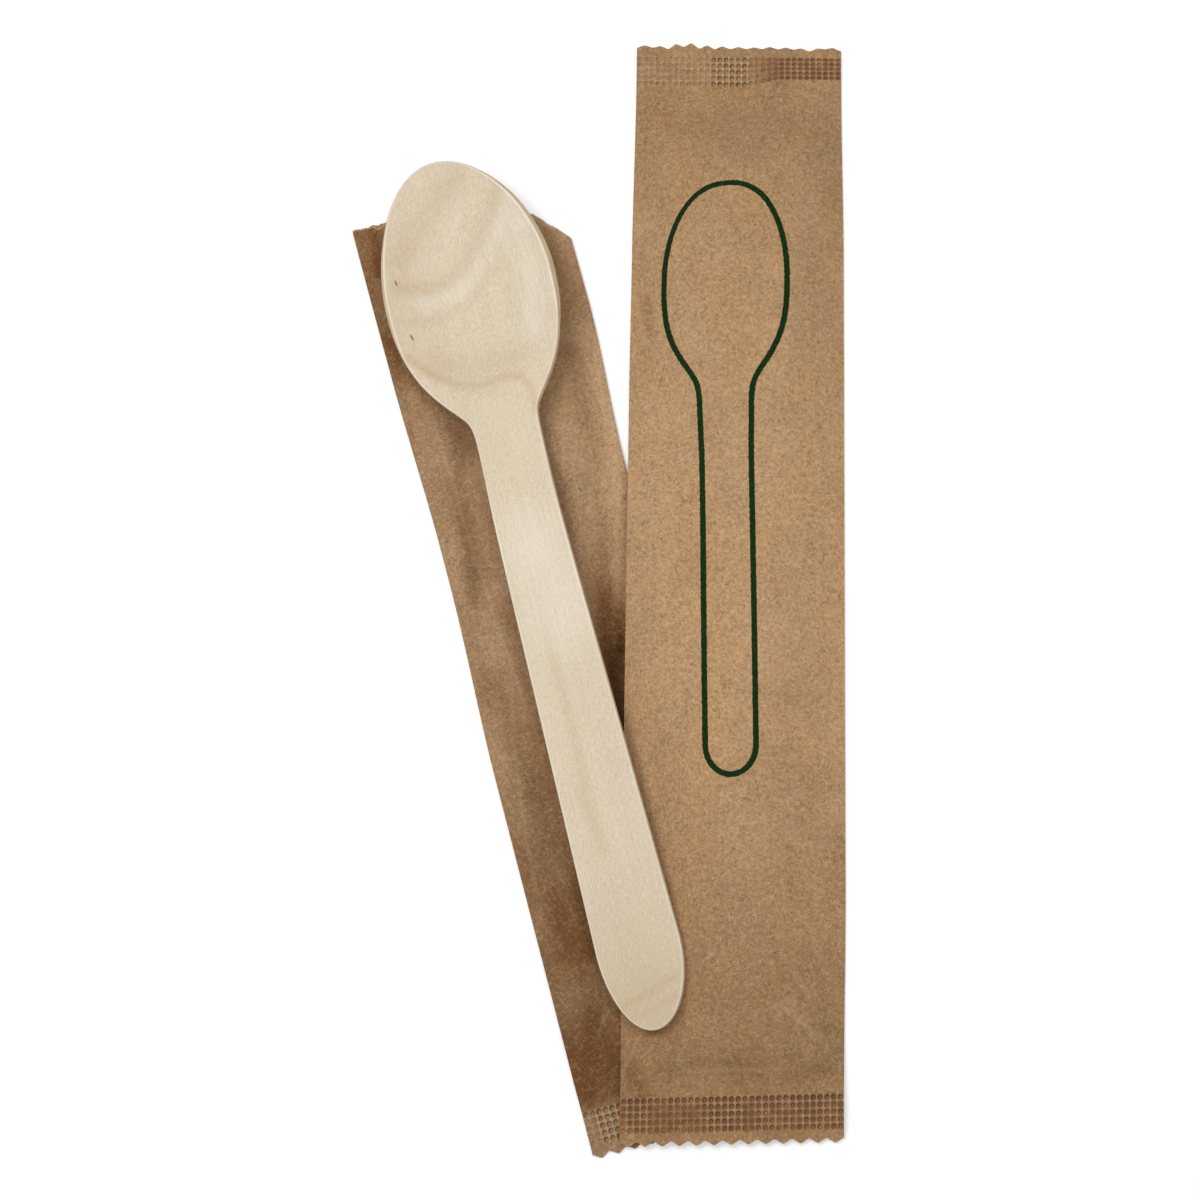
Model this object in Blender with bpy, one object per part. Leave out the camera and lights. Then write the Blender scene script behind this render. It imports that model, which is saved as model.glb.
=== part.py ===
"""A wooden cutlery pack: a spoon lying on its torn-open paper sleeve, beside a sealed sachet.

The two sleeves are the same flow-wrapped tube of thin brown paper, with a fin seam down the back
and a crimped, zigzag-cut seal across each end. One is still sealed, with its spoon inside. The
other has been torn open at the top and is empty, and its spoon lies across both.

Metres, +Z up, the paper lying on z = 0, and the bowl end of everything towards +Y.
"""
import bpy
import bmesh
from math import atan2, cos, exp, pi, radians, sin, sqrt, tan
from mathutils import Matrix, Vector
from mathutils.bvhtree import BVHTree

MM = 0.001

# The spoon, pressed from one sheet of birch veneer. Along it, distances count from the bowl's tip.
SPOON_LENGTH = 160.0 * MM
VENEER = 1.8 * MM
RIM_ROUNDING = 0.45 * MM
BOWL_WIDTH = 30.6 * MM
BOWL_FRONT = 24.6 * MM          # from the tip to the bowl's widest place
BOWL_BACK = 29.4 * MM           # from there to where the bowl's curve would close
FRONT_FULLNESS = 1.8            # exponent of the front curve, 2 being an ellipse
BACK_FULLNESS = 2.86            # the same for the back curve
BACK_CLOSING = 1.1              # exponent of its closing, 0.5 being an ellipse
NECK_AT = 50.0 * MM
NECK_WIDTH = 11.5 * MM
NECK_BLEND = 1.9 * MM           # size of the fillet from bowl to handle
NECK_BLEND_START = 42.2 * MM    # where it has its full size, and where it has run out
NECK_BLEND_END = 70.0 * MM
HANDLE_WIDTH = 14.8 * MM        # at the start of the round end
HANDLE_ROUND = 14.4 * MM        # length of the round end
TIP_LEAN = 0.9 * MM             # how far the tip lies to the left, and the handle's end
END_LEAN = 0.4 * MM
NECK_LEAN = 0.5 * MM            # and the neck to the right
NECK_LEAN_REACH = 12.0 * MM
DISH_DEPTH = 4.4 * MM
DISH_LENGTH = 43.6 * MM
DISH_WIDTH = 32.5 * MM          # wider than the bowl, so that the dish runs out over its sides
DISH_INSET = 1.7 * MM           # flat left in front of the dish
DISH_SHOULDER = 0.12            # share of the dish over which its edge is eased

# The paper and the way it is sealed
PAPER = 0.1 * MM
SLEEVE_SIDE_ROOM = 3.85 * MM    # beside the bowl
SLEEVE_END_ROOM = 10.5 * MM     # between the spoon and each seal
SEAL_BAND = 6.0 * MM
SEAL_LIP = 2.1 * MM             # from the crimped band to the points of the cut
CUT_DEPTH = 0.8 * MM
CUT_POINT_COUNT = 13
CRIMP_COLUMNS = 33
CRIMP_ROWS = 5
CRIMP_RELIEF = 0.22 * MM
FIN_WIDTH = 10.0 * MM
FIN_THICKNESS = 0.2 * MM
FIN_STEP = 0.15 * MM
SEAL_TAPER = 17.0 * MM          # length over which a sleeve swells from its flat seal

# The sealed sachet
SACHET_MIDDLE = (24.7 * MM, 0.4 * MM)
SACHET_TURN = radians(-1.0)
SACHET_TOP_SLANT = radians(2.6)
SACHET_BOTTOM_SLANT = radians(2.4)
SACHET_HANDLE_SWELL = 1.2 * MM  # paper standing off the handle inside
SACHET_PINCH = 0.35 * MM        # how far each side is drawn in towards the seals
SACHET_PINCH_REACH = 34.0 * MM
BOWL_CROWN = 0.3                # share of the bowl's front over which the sachet is at its highest
DOME_SIDE = 2.4                 # exponents of the sachet's cross-section
DOME_TOP = 1.2
LOW_FOLD_AT = 15.0 * MM         # the soft fold across the sachet over its lower seal
LOW_FOLD_WIDTH = 2.6 * MM
LOW_FOLD_DEPTH = 0.55 * MM

# The opened wrapper. Along it, distances count from its cut foot.
WRAPPER_FOOT = (18.2 * MM, -95.7 * MM)
WRAPPER_TURN = radians(15.0)
TORN_OFF = 24.4 * MM
TEAR_DROP = 13.5 * MM           # how far the tear runs down the right side
TEAR_START = -2.0 * MM          # across the sleeve, where the tear begins to run down
TEAR_BEND = 2.2
TORN_LIP = 1.3 * MM             # how far the front tears short of the back
TORN_LIP_START = 0.7            # share of the half width out to which it does
TEAR_JAG = 0.25 * MM
TEAR_WAVE = 3.3 * MM            # length of a ragged wave of the tear
FINE_WAVE = 1.7 * MM            # length of the finer wave upon it
FINE_SHARE = 0.6
FRONT_PHASE = radians(57)       # so that the two layers tear differently
BACK_PHASE = radians(138)
TEAR_CALM = 4                   # exponent with which the raggedness calms towards the sides
LEFT_WAIST = 0.8 * MM           # how far the left side is drawn in at its middle
LEFT_WAIST_LOW = 67.0 * MM
LEFT_WAIST_HIGH = 143.0 * MM
RIGHT_WAIST = 1.6 * MM          # and the right side
RIGHT_WAIST_LOW = 55.0 * MM
RIGHT_WAIST_HIGH = 148.0 * MM
WAIST_SLOPE = 35.0 * MM         # length over which a side is drawn in
MOUTH_FLARE = 0.3 * MM          # how far the left side spreads at the mouth
LAYER_GAP = 0.4 * MM            # between front and back where something lies on the sleeve
FRONT_RISE = 5.0 * MM           # length over which the layers part at the seal
SWELL = 1.7 * MM                # where nothing lies on it
SWELL_SIDE = 3.0                # exponent of its cross-section
FOLD_SHARE = 0.45               # share of the swell that the long folds take away
FOLD_SPREAD = 0.8               # of a wave of folds, over half the width
FOLD_WANDER = 0.18              # how far the folds wander from side to side, in waves
FOLD_WANDER_LENGTH = 30.0 * MM
MOUTH_SWELL = 1.6 * MM
MOUTH_LENGTH = 22.0 * MM

# How the pieces lie
SPOON_PLACE = (-22.4 * MM, 51.9 * MM)
SPOON_TURN = radians(14.4)
SPOON_ROLL = radians(-4.4)      # its right side raised by the sachet
SPOON_CLEARANCE = 0.3 * MM
LYING_GAP = 0.3 * MM            # between the sachet and the wrapper under it
DRAPE = 7.0 * MM                # length over which the sachet comes down off the wrapper
DRAPE_START = 2.5 * MM          # how far it stays up past the wrapper's edge
SACHET_SHADOW = 2.5 * MM        # how far beside the sachet the wrapper is still held flat
SACHET_RISE = 6.0 * MM          # length over which it swells from there
PRESSED_CORE = 4.5 * MM         # round the bowl's foot the wrapper is held quite flat
PRESSED_REACH = 13.0 * MM       # and up to here partly

# How the surfaces are built
SPOON_COLUMNS = 10
FRONT_STATIONS = 12             # rings of the spoon before its widest place
BACK_STATIONS = 14
NECK_STATIONS = 4
HANDLE_STATIONS = 4
END_STATIONS = 8
SLEEVE_ROWS = 24
FRONT_COLUMNS = 20
BACK_COLUMNS = 4                # on each side of the fin
ROW_CROWDING = 0.35             # how much closer the rows lie near the seals
SIDE_CROWDING = 0.5             # and the columns near the folded sides
SLOPE_STEP = 0.05 * MM          # over which the dish's slope is measured
WELD = 0.002 * MM               # points closer than this are one
WOOD_SMOOTHING = radians(35)    # edges sharper than this stay sharp
PAPER_SMOOTHING = radians(25)
DROP_HEIGHT = 20.0 * MM         # from which the spoon is let down
PROBE_ROOM = 10.0 * MM          # past the pieces, from where rays start
LAYING_STEPS = 4

SLEEVE_WIDTH = BOWL_WIDTH + 2 * SLEEVE_SIDE_ROOM
SEAL = SEAL_BAND + SEAL_LIP
SACHET_LENGTH = SPOON_LENGTH + 2 * (SLEEVE_END_ROOM + SEAL)
WRAPPER_LENGTH = SACHET_LENGTH - TORN_OFF
BACK_LEVEL = FIN_THICKNESS      # the back of a sleeve lies on its folded fin
SACHET_BOWL_HEIGHT = DISH_DEPTH + VENEER + 2 * PAPER
SACHET_HANDLE_HEIGHT = VENEER + SACHET_HANDLE_SWELL + 2 * PAPER
WRAPPER_PRESSED = BACK_LEVEL + 2 * PAPER + LAYER_GAP
SACHET_LIFT = WRAPPER_PRESSED + LYING_GAP

WOOD = ("birch_veneer", (0.72, 0.60, 0.43), 0.62)
KRAFT = ("kraft_paper", (0.39, 0.23, 0.12), 0.85)
WORN_KRAFT = ("opened_kraft_paper", (0.36, 0.21, 0.11), 0.88)


def clear_scene():
    """Remove every object that the scene starts with."""
    for obj in list(bpy.data.objects):
        bpy.data.objects.remove(obj, do_unlink=True)


def make_material(finish):
    """A Principled material from a name, a colour and a roughness."""
    name, colour, roughness = finish
    material = bpy.data.materials.new(name)
    material.use_nodes = True
    shader = material.node_tree.nodes["Principled BSDF"]
    shader.inputs["Base Color"].default_value = (*colour, 1.0)
    shader.inputs["Roughness"].default_value = roughness
    shader.inputs["Metallic"].default_value = 0.0
    material.diffuse_color = (*colour, 1.0)
    return material


def mix(a, b, share):
    """The value a given share of the way from a to b."""
    return a + (b - a) * share


def ease(low, high, value):
    """0 below low, 1 above high and a smooth rise between."""
    share = min(max((value - low) / (high - low), 0.0), 1.0)
    return share * share * (3.0 - 2.0 * share)


class Skin:
    """The surface of one closed piece, built up row by row."""

    def __init__(self):
        self.mesh = bmesh.new()

    def row(self, points):
        """Add a row of points and return its vertices."""
        return [self.mesh.verts.new(point) for point in points]

    def face(self, *corners):
        """Add one face."""
        self.mesh.faces.new(corners)

    def stitch(self, first, second):
        """Join two rows, which may have different numbers of points."""
        i, j = 0, 0
        last_i, last_j = len(first) - 1, len(second) - 1
        if last_i == last_j:
            for k in range(last_i):
                self.face(first[k], first[k + 1], second[k + 1], second[k])
            return
        while i < last_i or j < last_j:
            step_first = j == last_j or (i < last_i and (i + 1) / last_i <= (j + 1) / last_j)
            if step_first:
                self.face(first[i], first[i + 1], second[j])
                i += 1
            else:
                self.face(first[i], second[j + 1], second[j])
                j += 1

    def crimp(self, first, second, relief):
        """Join two rows of equal length by cells that rise to a blunt point."""
        for k in range(len(first) - 1):
            corners = (first[k], first[k + 1], second[k + 1], second[k])
            middle = sum((corner.co for corner in corners), Vector()) / 4
            peak = self.mesh.verts.new(middle + Vector((0, 0, relief)))
            for a in range(4):
                self.face(corners[a], corners[(a + 1) % 4], peak)

    def finish(self, name, finish, smooth_angle):
        """Turn the skin into a named object with its own material."""
        bmesh.ops.remove_doubles(self.mesh, verts=self.mesh.verts, dist=WELD)
        bmesh.ops.recalc_face_normals(self.mesh, faces=self.mesh.faces)
        data = bpy.data.meshes.new(name)
        self.mesh.to_mesh(data)
        self.mesh.free()
        data.shade_smooth()
        data.set_sharp_from_angle(angle=smooth_angle)
        data.materials.append(make_material(finish))
        obj = bpy.data.objects.new(name, data)
        bpy.context.scene.collection.objects.link(obj)
        return obj


# The spoon

def bowl_half_width(along):
    """Half the bowl's width at a distance from its tip."""
    half = BOWL_WIDTH / 2
    if along < BOWL_FRONT:
        share = (BOWL_FRONT - along) / BOWL_FRONT
        return half * sqrt(max(1.0 - share ** FRONT_FULLNESS, 0.0))
    share = min((along - BOWL_FRONT) / BOWL_BACK, 1.0)
    return half * (1.0 - share ** BACK_FULLNESS) ** BACK_CLOSING


def handle_half_width(along):
    """Half the handle's width, with its round end."""
    round_start = SPOON_LENGTH - HANDLE_ROUND
    share = (along - NECK_AT) / (round_start - NECK_AT)
    half = mix(NECK_WIDTH, HANDLE_WIDTH, share) / 2
    if along > round_start:
        reach = min((along - round_start) / HANDLE_ROUND, 1.0)
        half = HANDLE_WIDTH / 2 * sqrt(1.0 - reach * reach)
    return half


def spoon_half_width(along):
    """Half the spoon's width: the wider of bowl and handle, blended where they meet."""
    bowl, handle = bowl_half_width(along), handle_half_width(along)
    if along <= BOWL_FRONT:
        return bowl
    blend = (NECK_BLEND * ease(BOWL_FRONT, NECK_BLEND_START, along)
             * ease(NECK_BLEND_END, NECK_AT, along))
    return (bowl + handle + sqrt((bowl - handle) ** 2 + blend ** 2)) / 2


def centreline(along):
    """How far the middle of the outline leans to the side at a distance along the spoon."""
    tip = max(BOWL_FRONT - along, 0.0) / BOWL_FRONT
    end = max(along - SPOON_LENGTH + HANDLE_ROUND, 0.0) / HANDLE_ROUND
    neck = exp(-((along - NECK_AT) / NECK_LEAN_REACH) ** 2)
    return NECK_LEAN * neck - TIP_LEAN * tip ** 2 - END_LEAN * end ** 2


def dish(along, across):
    """How far the veneer is pressed down at a place on the spoon."""
    middle = DISH_INSET + DISH_LENGTH / 2
    reach = ((along - middle) / (DISH_LENGTH / 2)) ** 2 + (across / (DISH_WIDTH / 2)) ** 2
    inside = 1.0 - reach
    if inside <= -DISH_SHOULDER:
        return 0.0
    if inside < DISH_SHOULDER:
        return DISH_DEPTH * (inside + DISH_SHOULDER) ** 2 / (4 * DISH_SHOULDER)
    return DISH_DEPTH * inside


def on_veneer(along, across, below):
    """A point at a depth under the veneer's top face, measured square to it."""
    step = SLOPE_STEP
    slope_along = (dish(along + step, across) - dish(along - step, across)) / (2 * step)
    slope_across = (dish(along, across + step) - dish(along, across - step)) / (2 * step)
    square = Vector((slope_across, slope_along, 1.0)).normalized()
    place = Vector((across, along, -dish(along, across))) - square * below
    return Vector((place.x, BOWL_FRONT - place.y, place.z))


def shares(count):
    """Equal steps from 0 up to, but not including, 1."""
    return [k / count for k in range(count)]


def spoon_stations():
    """Distances from the tip of the bowl, closer together where the outline turns."""
    front = [BOWL_FRONT * (1 - cos(pi / 2 * share)) for share in shares(FRONT_STATIONS)]
    closed = BOWL_FRONT + BOWL_BACK
    round_start = SPOON_LENGTH - HANDLE_ROUND
    back = [mix(BOWL_FRONT, closed, sin(pi / 2 * share)) for share in shares(BACK_STATIONS)]
    neck = [mix(closed, NECK_BLEND_END, share) for share in shares(NECK_STATIONS)]
    straight = [mix(NECK_BLEND_END, round_start, share) for share in shares(HANDLE_STATIONS)]
    end = [round_start + HANDLE_ROUND * sin(pi / 2 * share) for share in shares(END_STATIONS)]
    return front + back + neck + straight + end + [SPOON_LENGTH]


def build_spoon():
    """The pressed spoon, lofted from bowl tip to handle end with rounded edges."""
    skin = Skin()
    stations = spoon_stations()
    outline = [(along, spoon_half_width(along)) for along in stations]
    rounding = [(RIM_ROUNDING, 0.0),
                (RIM_ROUNDING * (1 - cos(pi / 4)), RIM_ROUNDING * (1 - sin(pi / 4))),
                (0.0, RIM_ROUNDING)]
    edge = rounding + [(inset, VENEER - below) for inset, below in reversed(rounding)]
    rings = []
    for k, (along, half) in enumerate(outline):
        before = outline[max(k - 1, 0)]
        after = outline[min(k + 1, len(outline) - 1)]
        out = Vector((-(after[1] - before[1]), after[0] - before[0])).normalized()
        if k == 0:
            out = Vector((-1.0, 0.0))
        if k == len(outline) - 1:
            out = Vector((1.0, 0.0))
        rim = [(along - inset * out.x, max(half - inset * out.y, 0.0), below)
               for inset, below in edge]
        top_along, top_half, _ = rim[0]
        base_along, base_half, _ = rim[-1]
        spread = [2 * c / SPOON_COLUMNS - 1 for c in range(1, SPOON_COLUMNS)]
        lean = centreline(along)
        ring = [on_veneer(top_along, lean + top_half * share, 0.0) for share in spread]
        ring += [on_veneer(u, lean + v, below) for u, v, below in rim]
        ring += [on_veneer(base_along, lean - base_half * share, VENEER) for share in spread]
        ring += [on_veneer(u, lean - v, below) for u, v, below in reversed(rim)]
        rings.append(skin.row(ring + ring[:1]))
    for first, second in zip(rings, rings[1:]):
        skin.stitch(first, second)
    return skin.finish("wooden_spoon", WOOD, WOOD_SMOOTHING)


# The two sleeves

def sleeve_places(middle, turn):
    """Functions between places on a sleeve and places on the table."""
    side = Vector((cos(turn), sin(turn)))
    ahead = Vector((-sin(turn), cos(turn)))
    origin = Vector(middle)

    def to_table(across, along):
        return origin + side * across + ahead * along

    def to_sleeve(place):
        offset = Vector(place) - origin
        return offset.dot(side), offset.dot(ahead)

    return to_table, to_sleeve


SACHET_TO_TABLE, TABLE_TO_SACHET = sleeve_places(SACHET_MIDDLE, SACHET_TURN)
WRAPPER_TO_TABLE, TABLE_TO_WRAPPER = sleeve_places(WRAPPER_FOOT, WRAPPER_TURN)


def even_shares(count):
    """Places across a sleeve from -1 to 1."""
    return [2 * k / count - 1 for k in range(count + 1)]


def front_shares():
    """Columns of a sleeve's front, closer together at the folded sides."""
    return [mix(share, sin(pi / 2 * share), SIDE_CROWDING) for share in even_shares(FRONT_COLUMNS)]


def back_shares():
    """Columns of a sleeve's back, with a pair at each side of the fin."""
    fin = FIN_WIDTH / SLEEVE_WIDTH
    step = fin + 2 * FIN_STEP / SLEEVE_WIDTH
    outer = [mix(step, 1.0, k / BACK_COLUMNS) for k in range(BACK_COLUMNS, -1, -1)]
    return [-share for share in outer] + [-fin, fin] + list(reversed(outer))


def fin_drop(share):
    """How far the back drops to the folded fin at a place across the sleeve."""
    return FIN_THICKNESS if abs(share) < (FIN_WIDTH + FIN_STEP) / SLEEVE_WIDTH else 0.0


def sachet_lift(place):
    """Height of the sachet's underside over the table, where the wrapper is under it."""
    across, along = TABLE_TO_WRAPPER(place)
    over_side = ease(-DRAPE, 0.0, SLEEVE_WIDTH / 2 + DRAPE_START - abs(across))
    over_end = ease(-DRAPE, 0.0, along + DRAPE_START)
    return SACHET_LIFT * over_side * over_end


def sachet_ends(across):
    """Where the cut ends of the sachet lie at a place across it."""
    low = -SACHET_LENGTH / 2 + across * tan(SACHET_BOTTOM_SLANT)
    high = SACHET_LENGTH / 2 - across * tan(SACHET_TOP_SLANT)
    return low, high


def sachet_height(share, from_low, from_high):
    """Thickness of the sachet at distances from its two seals."""
    along = ease(0.0, SEAL_TAPER, from_low) * ease(0.0, SEAL_TAPER, from_high)
    bowl_middle = SLEEVE_END_ROOM + BOWL_FRONT
    bowl = ease(BOWL_FRONT + BOWL_BACK, BOWL_FRONT * BOWL_CROWN, abs(from_high - bowl_middle))
    full = mix(SACHET_HANDLE_HEIGHT, SACHET_BOWL_HEIGHT, bowl)
    fold = LOW_FOLD_DEPTH * exp(-((from_low - LOW_FOLD_AT) / LOW_FOLD_WIDTH) ** 2)
    dome = (1 - abs(share) ** DOME_SIDE) ** DOME_TOP
    return 2 * PAPER + (full - 2 * PAPER - fold) * along * dome


def sachet_point(share, seat, front):
    """A point on the sachet: seat counts from its low end, 0 to 1, and front picks the face."""
    width = SLEEVE_WIDTH / 2
    low, high = sachet_ends(share * width)
    along = mix(low, high, seat)
    from_low, from_high = along - low - SEAL, high - SEAL - along
    nearest = min(from_low, from_high)
    drawn_in = SACHET_PINCH * ease(SACHET_PINCH_REACH, 0.0, nearest)
    place = SACHET_TO_TABLE(share * (width - drawn_in), along)
    base = BACK_LEVEL + sachet_lift(place)
    if front:
        return (place.x, place.y, base + sachet_height(share, from_low, from_high))
    return (place.x, place.y, base - (fin_drop(share) if nearest > WELD else 0.0))


def tear_line(across, front):
    """Distance of the torn mouth from the wrapper's foot, at a place across it."""
    width = SLEEVE_WIDTH / 2
    run = max(across - TEAR_START, 0.0) / (width - TEAR_START)
    line = WRAPPER_LENGTH - TEAR_DROP * run ** TEAR_BEND
    if front:
        line -= TORN_LIP * ease(width, width * TORN_LIP_START, abs(across))
    phase = FRONT_PHASE if front else BACK_PHASE
    ragged = (sin(2 * pi * across / TEAR_WAVE)
              + FINE_SHARE * sin(2 * pi * across / FINE_WAVE + phase))
    return line + TEAR_JAG * ragged * (1 - (across / width) ** TEAR_CALM)


def wrapper_half_width(share, along):
    """Half the wrapper's width on the side that share is on: both sides have a waist."""
    if share < 0:
        waist = LEFT_WAIST * waist_share(LEFT_WAIST_LOW, LEFT_WAIST_HIGH, along)
        flare = MOUTH_FLARE * ease(WRAPPER_LENGTH - 2 * MOUTH_LENGTH, WRAPPER_LENGTH, along)
        return SLEEVE_WIDTH / 2 - waist + flare
    return SLEEVE_WIDTH / 2 - RIGHT_WAIST * waist_share(RIGHT_WAIST_LOW, RIGHT_WAIST_HIGH, along)


def waist_share(low, high, along):
    """1 at a waist between two places along the wrapper, and 0 outside them."""
    return ease(low, low + WAIST_SLOPE, along) * ease(high, high - WAIST_SLOPE, along)


def wrapper_opening(place, share, along):
    """Room between the wrapper's two layers at a place on it."""
    sachet_across, _ = TABLE_TO_SACHET(place)
    beside = -SLEEVE_WIDTH / 2 - SACHET_SHADOW - sachet_across
    clear_of_sachet = ease(0.0, SACHET_RISE, beside)
    from_bowl = (Vector(place) - Vector(SPOON_PLACE)).length
    clear_of_bowl = ease(PRESSED_CORE, PRESSED_REACH, from_bowl)
    rise = ease(SEAL, SEAL + SEAL_TAPER, along)
    wander = FOLD_WANDER * sin(along / FOLD_WANDER_LENGTH)
    folds = FOLD_SHARE * (1 - cos(2 * pi * (share * FOLD_SPREAD + wander)))
    mouth = ease(WRAPPER_LENGTH - MOUTH_LENGTH, WRAPPER_LENGTH, along)
    swell = SWELL * (1 - folds) + MOUTH_SWELL * mouth
    dome = 1 - abs(share) ** SWELL_SIDE
    return LAYER_GAP + swell * rise * dome * clear_of_sachet * clear_of_bowl


def wrapper_point(share, seat, front, inside):
    """A point on the wrapper: seat counts from its foot to its torn mouth, 0 to 1."""
    along = mix(0.0, tear_line(share * SLEEVE_WIDTH / 2, front), seat)
    half = wrapper_half_width(share, along) - (PAPER if inside else 0.0)
    place = WRAPPER_TO_TABLE(share * half, along)
    if not front:
        level = BACK_LEVEL + PAPER if inside else BACK_LEVEL - fin_drop(share)
        return (place.x, place.y, level)
    room = wrapper_opening(place, share, along) * ease(SEAL, SEAL + FRONT_RISE, along)
    level = BACK_LEVEL + 2 * PAPER + room
    return (place.x, place.y, level - (PAPER if inside else 0.0))


def seal_rows(to_point, outer, inner, front):
    """Rows of points across a seal from the zigzag cut to the crimped band's inner edge.

    to_point gives a point from a share across, a distance from the cut and a face.
    """
    teeth = even_shares(2 * CUT_POINT_COUNT)
    cut = [to_point(share, CUT_DEPTH if k % 2 == 0 else 0.0, front)
           for k, share in enumerate(teeth)]
    cells = even_shares(CRIMP_COLUMNS)
    rows = [[to_point(share, mix(outer, inner, k / CRIMP_ROWS), front) for share in cells]
            for k in range(CRIMP_ROWS + 1)]
    return cut, rows


def add_seal(skin, to_point, front):
    """Build one face of a seal and return its rows of vertices, cut edge first."""
    cut, rows = seal_rows(to_point, SEAL_LIP, SEAL, front)
    made = [skin.row(points) for points in [cut] + rows]
    skin.stitch(made[0], made[1])
    for first, second in zip(made[1:], made[2:]):
        skin.crimp(first, second, CRIMP_RELIEF)
    return made


def close_sides(skin, front_rows, back_rows):
    """Join the front and back of a sleeve along both folded sides."""
    for end in (0, -1):
        for k in range(len(front_rows) - 1):
            skin.face(front_rows[k][end], front_rows[k + 1][end],
                      back_rows[k + 1][end], back_rows[k][end])


def build_sachet():
    """The sealed sachet: one closed solid, swollen by the spoon inside it."""
    skin = Skin()

    def from_end(share, distance, front, high_end):
        low, high = sachet_ends(share * SLEEVE_WIDTH / 2)
        seat = distance / (high - low)
        return sachet_point(share, 1 - seat if high_end else seat, front)

    def low_seal(share, from_cut, front):
        return from_end(share, from_cut, front, high_end=False)

    def high_seal(share, from_cut, front):
        return from_end(share, from_cut, front, high_end=True)

    faces = []
    for front in (True, False):
        shares = front_shares() if front else back_shares()
        low_rows = add_seal(skin, low_seal, front)
        high_rows = add_seal(skin, high_seal, front)
        body = []
        for k in range(1, SLEEVE_ROWS):
            row = []
            for share in shares:
                low, high = sachet_ends(share * SLEEVE_WIDTH / 2)
                along = mix(SEAL, high - low - SEAL, row_share(k / SLEEVE_ROWS))
                row.append(from_end(share, along, front, high_end=False))
            body.append(skin.row(row))
        inner = [low_rows[-1]] + body + [high_rows[-1]]
        for first, second in zip(inner, inner[1:]):
            skin.stitch(first, second)
        faces.append(low_rows[:-1] + inner + list(reversed(high_rows[:-1])))
    close_sides(skin, faces[0], faces[1])
    skin.stitch(faces[0][0], faces[1][0])
    skin.stitch(faces[0][-1], faces[1][-1])
    return skin.finish("sealed_sachet", KRAFT, PAPER_SMOOTHING)


def row_share(share):
    """Spread a sleeve's rows so that they lie closer together near both seals."""
    return share - ROW_CROWDING * sin(2 * pi * share) / (2 * pi)


def build_wrapper():
    """The empty sleeve: thin paper walls, a crimped foot and a torn open mouth."""
    skin = Skin()

    def foot_seal(share, from_cut, front):
        place = WRAPPER_TO_TABLE(share * SLEEVE_WIDTH / 2, from_cut)
        return (place.x, place.y, BACK_LEVEL + (2 * PAPER if front else 0.0))

    def body_rows(front, inside):
        rows = []
        for k in range(1, SLEEVE_ROWS + 1):
            row = []
            for share in front_shares() if front else back_shares():
                mouth = tear_line(share * SLEEVE_WIDTH / 2, front)
                along = mix(SEAL, mouth, row_share(k / SLEEVE_ROWS))
                row.append(wrapper_point(share, along / mouth, front, inside))
            rows.append(skin.row(row))
        return rows

    outer, inner = [], []
    for front in (True, False):
        seal = add_seal(skin, foot_seal, front)
        body = body_rows(front, inside=False)
        for first, second in zip([seal[-1]] + body, body):
            skin.stitch(first, second)
        outer.append(seal + body)
        lining = body_rows(front, inside=True)
        for first, second in zip(lining, lining[1:]):
            skin.stitch(first, second)
        inner.append(lining)
        skin.stitch(body[-1], lining[-1])
    close_sides(skin, *outer)
    close_sides(skin, *inner)
    skin.stitch(outer[0][0], outer[1][0])
    skin.stitch(inner[0][0], inner[1][0])
    for end in (0, -1):
        skin.face(outer[0][-1][end], outer[1][-1][end], inner[1][-1][end], inner[0][-1][end])
    return skin.finish("opened_wrapper", WORN_KRAFT, PAPER_SMOOTHING)


# Laying the spoon down

def spoon_matrix(pitch, height):
    """Where the spoon lies, for a pitch and a height of its top face."""
    place = Matrix.Translation((SPOON_PLACE[0], SPOON_PLACE[1], height))
    return (place @ Matrix.Rotation(SPOON_TURN, 4, "Z") @ Matrix.Rotation(pitch, 4, "X")
            @ Matrix.Rotation(SPOON_ROLL, 4, "Y"))


def clearance(spoon, matrix, papers, keep):
    """Least height of the spoon over the papers, for the places that keep picks by distance along."""
    data = spoon.data
    corners = [matrix @ vertex.co for vertex in data.vertices]
    spoon_tree = BVHTree.FromPolygons(corners, [tuple(face.vertices) for face in data.polygons])
    high = max(corner.z for corner in corners) + PROBE_ROOM
    down, up = Vector((0, 0, -1)), Vector((0, 0, 1))
    least, where = 1.0, 0.0
    to_spoon = matrix.inverted()
    for paper in papers:
        points = [vertex.co.copy() for vertex in paper.data.vertices]
        faces = [tuple(face.vertices) for face in paper.data.polygons]
        paper_tree = BVHTree.FromPolygons(points, faces)
        for source, corner in zip(data.vertices, corners):
            if keep(source.co.y):
                hit = paper_tree.ray_cast(Vector((corner.x, corner.y, high)), down)[0]
                if hit is not None and corner.z - hit.z < least:
                    least, where = corner.z - hit.z, source.co.y
        for point in points:
            hit = spoon_tree.ray_cast(Vector((point.x, point.y, -PROBE_ROOM)), up)[0]
            if hit is not None and hit.z - point.z < least:
                along = (to_spoon @ hit).y
                if keep(along):
                    least, where = hit.z - point.z, along
    return least, where


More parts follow.
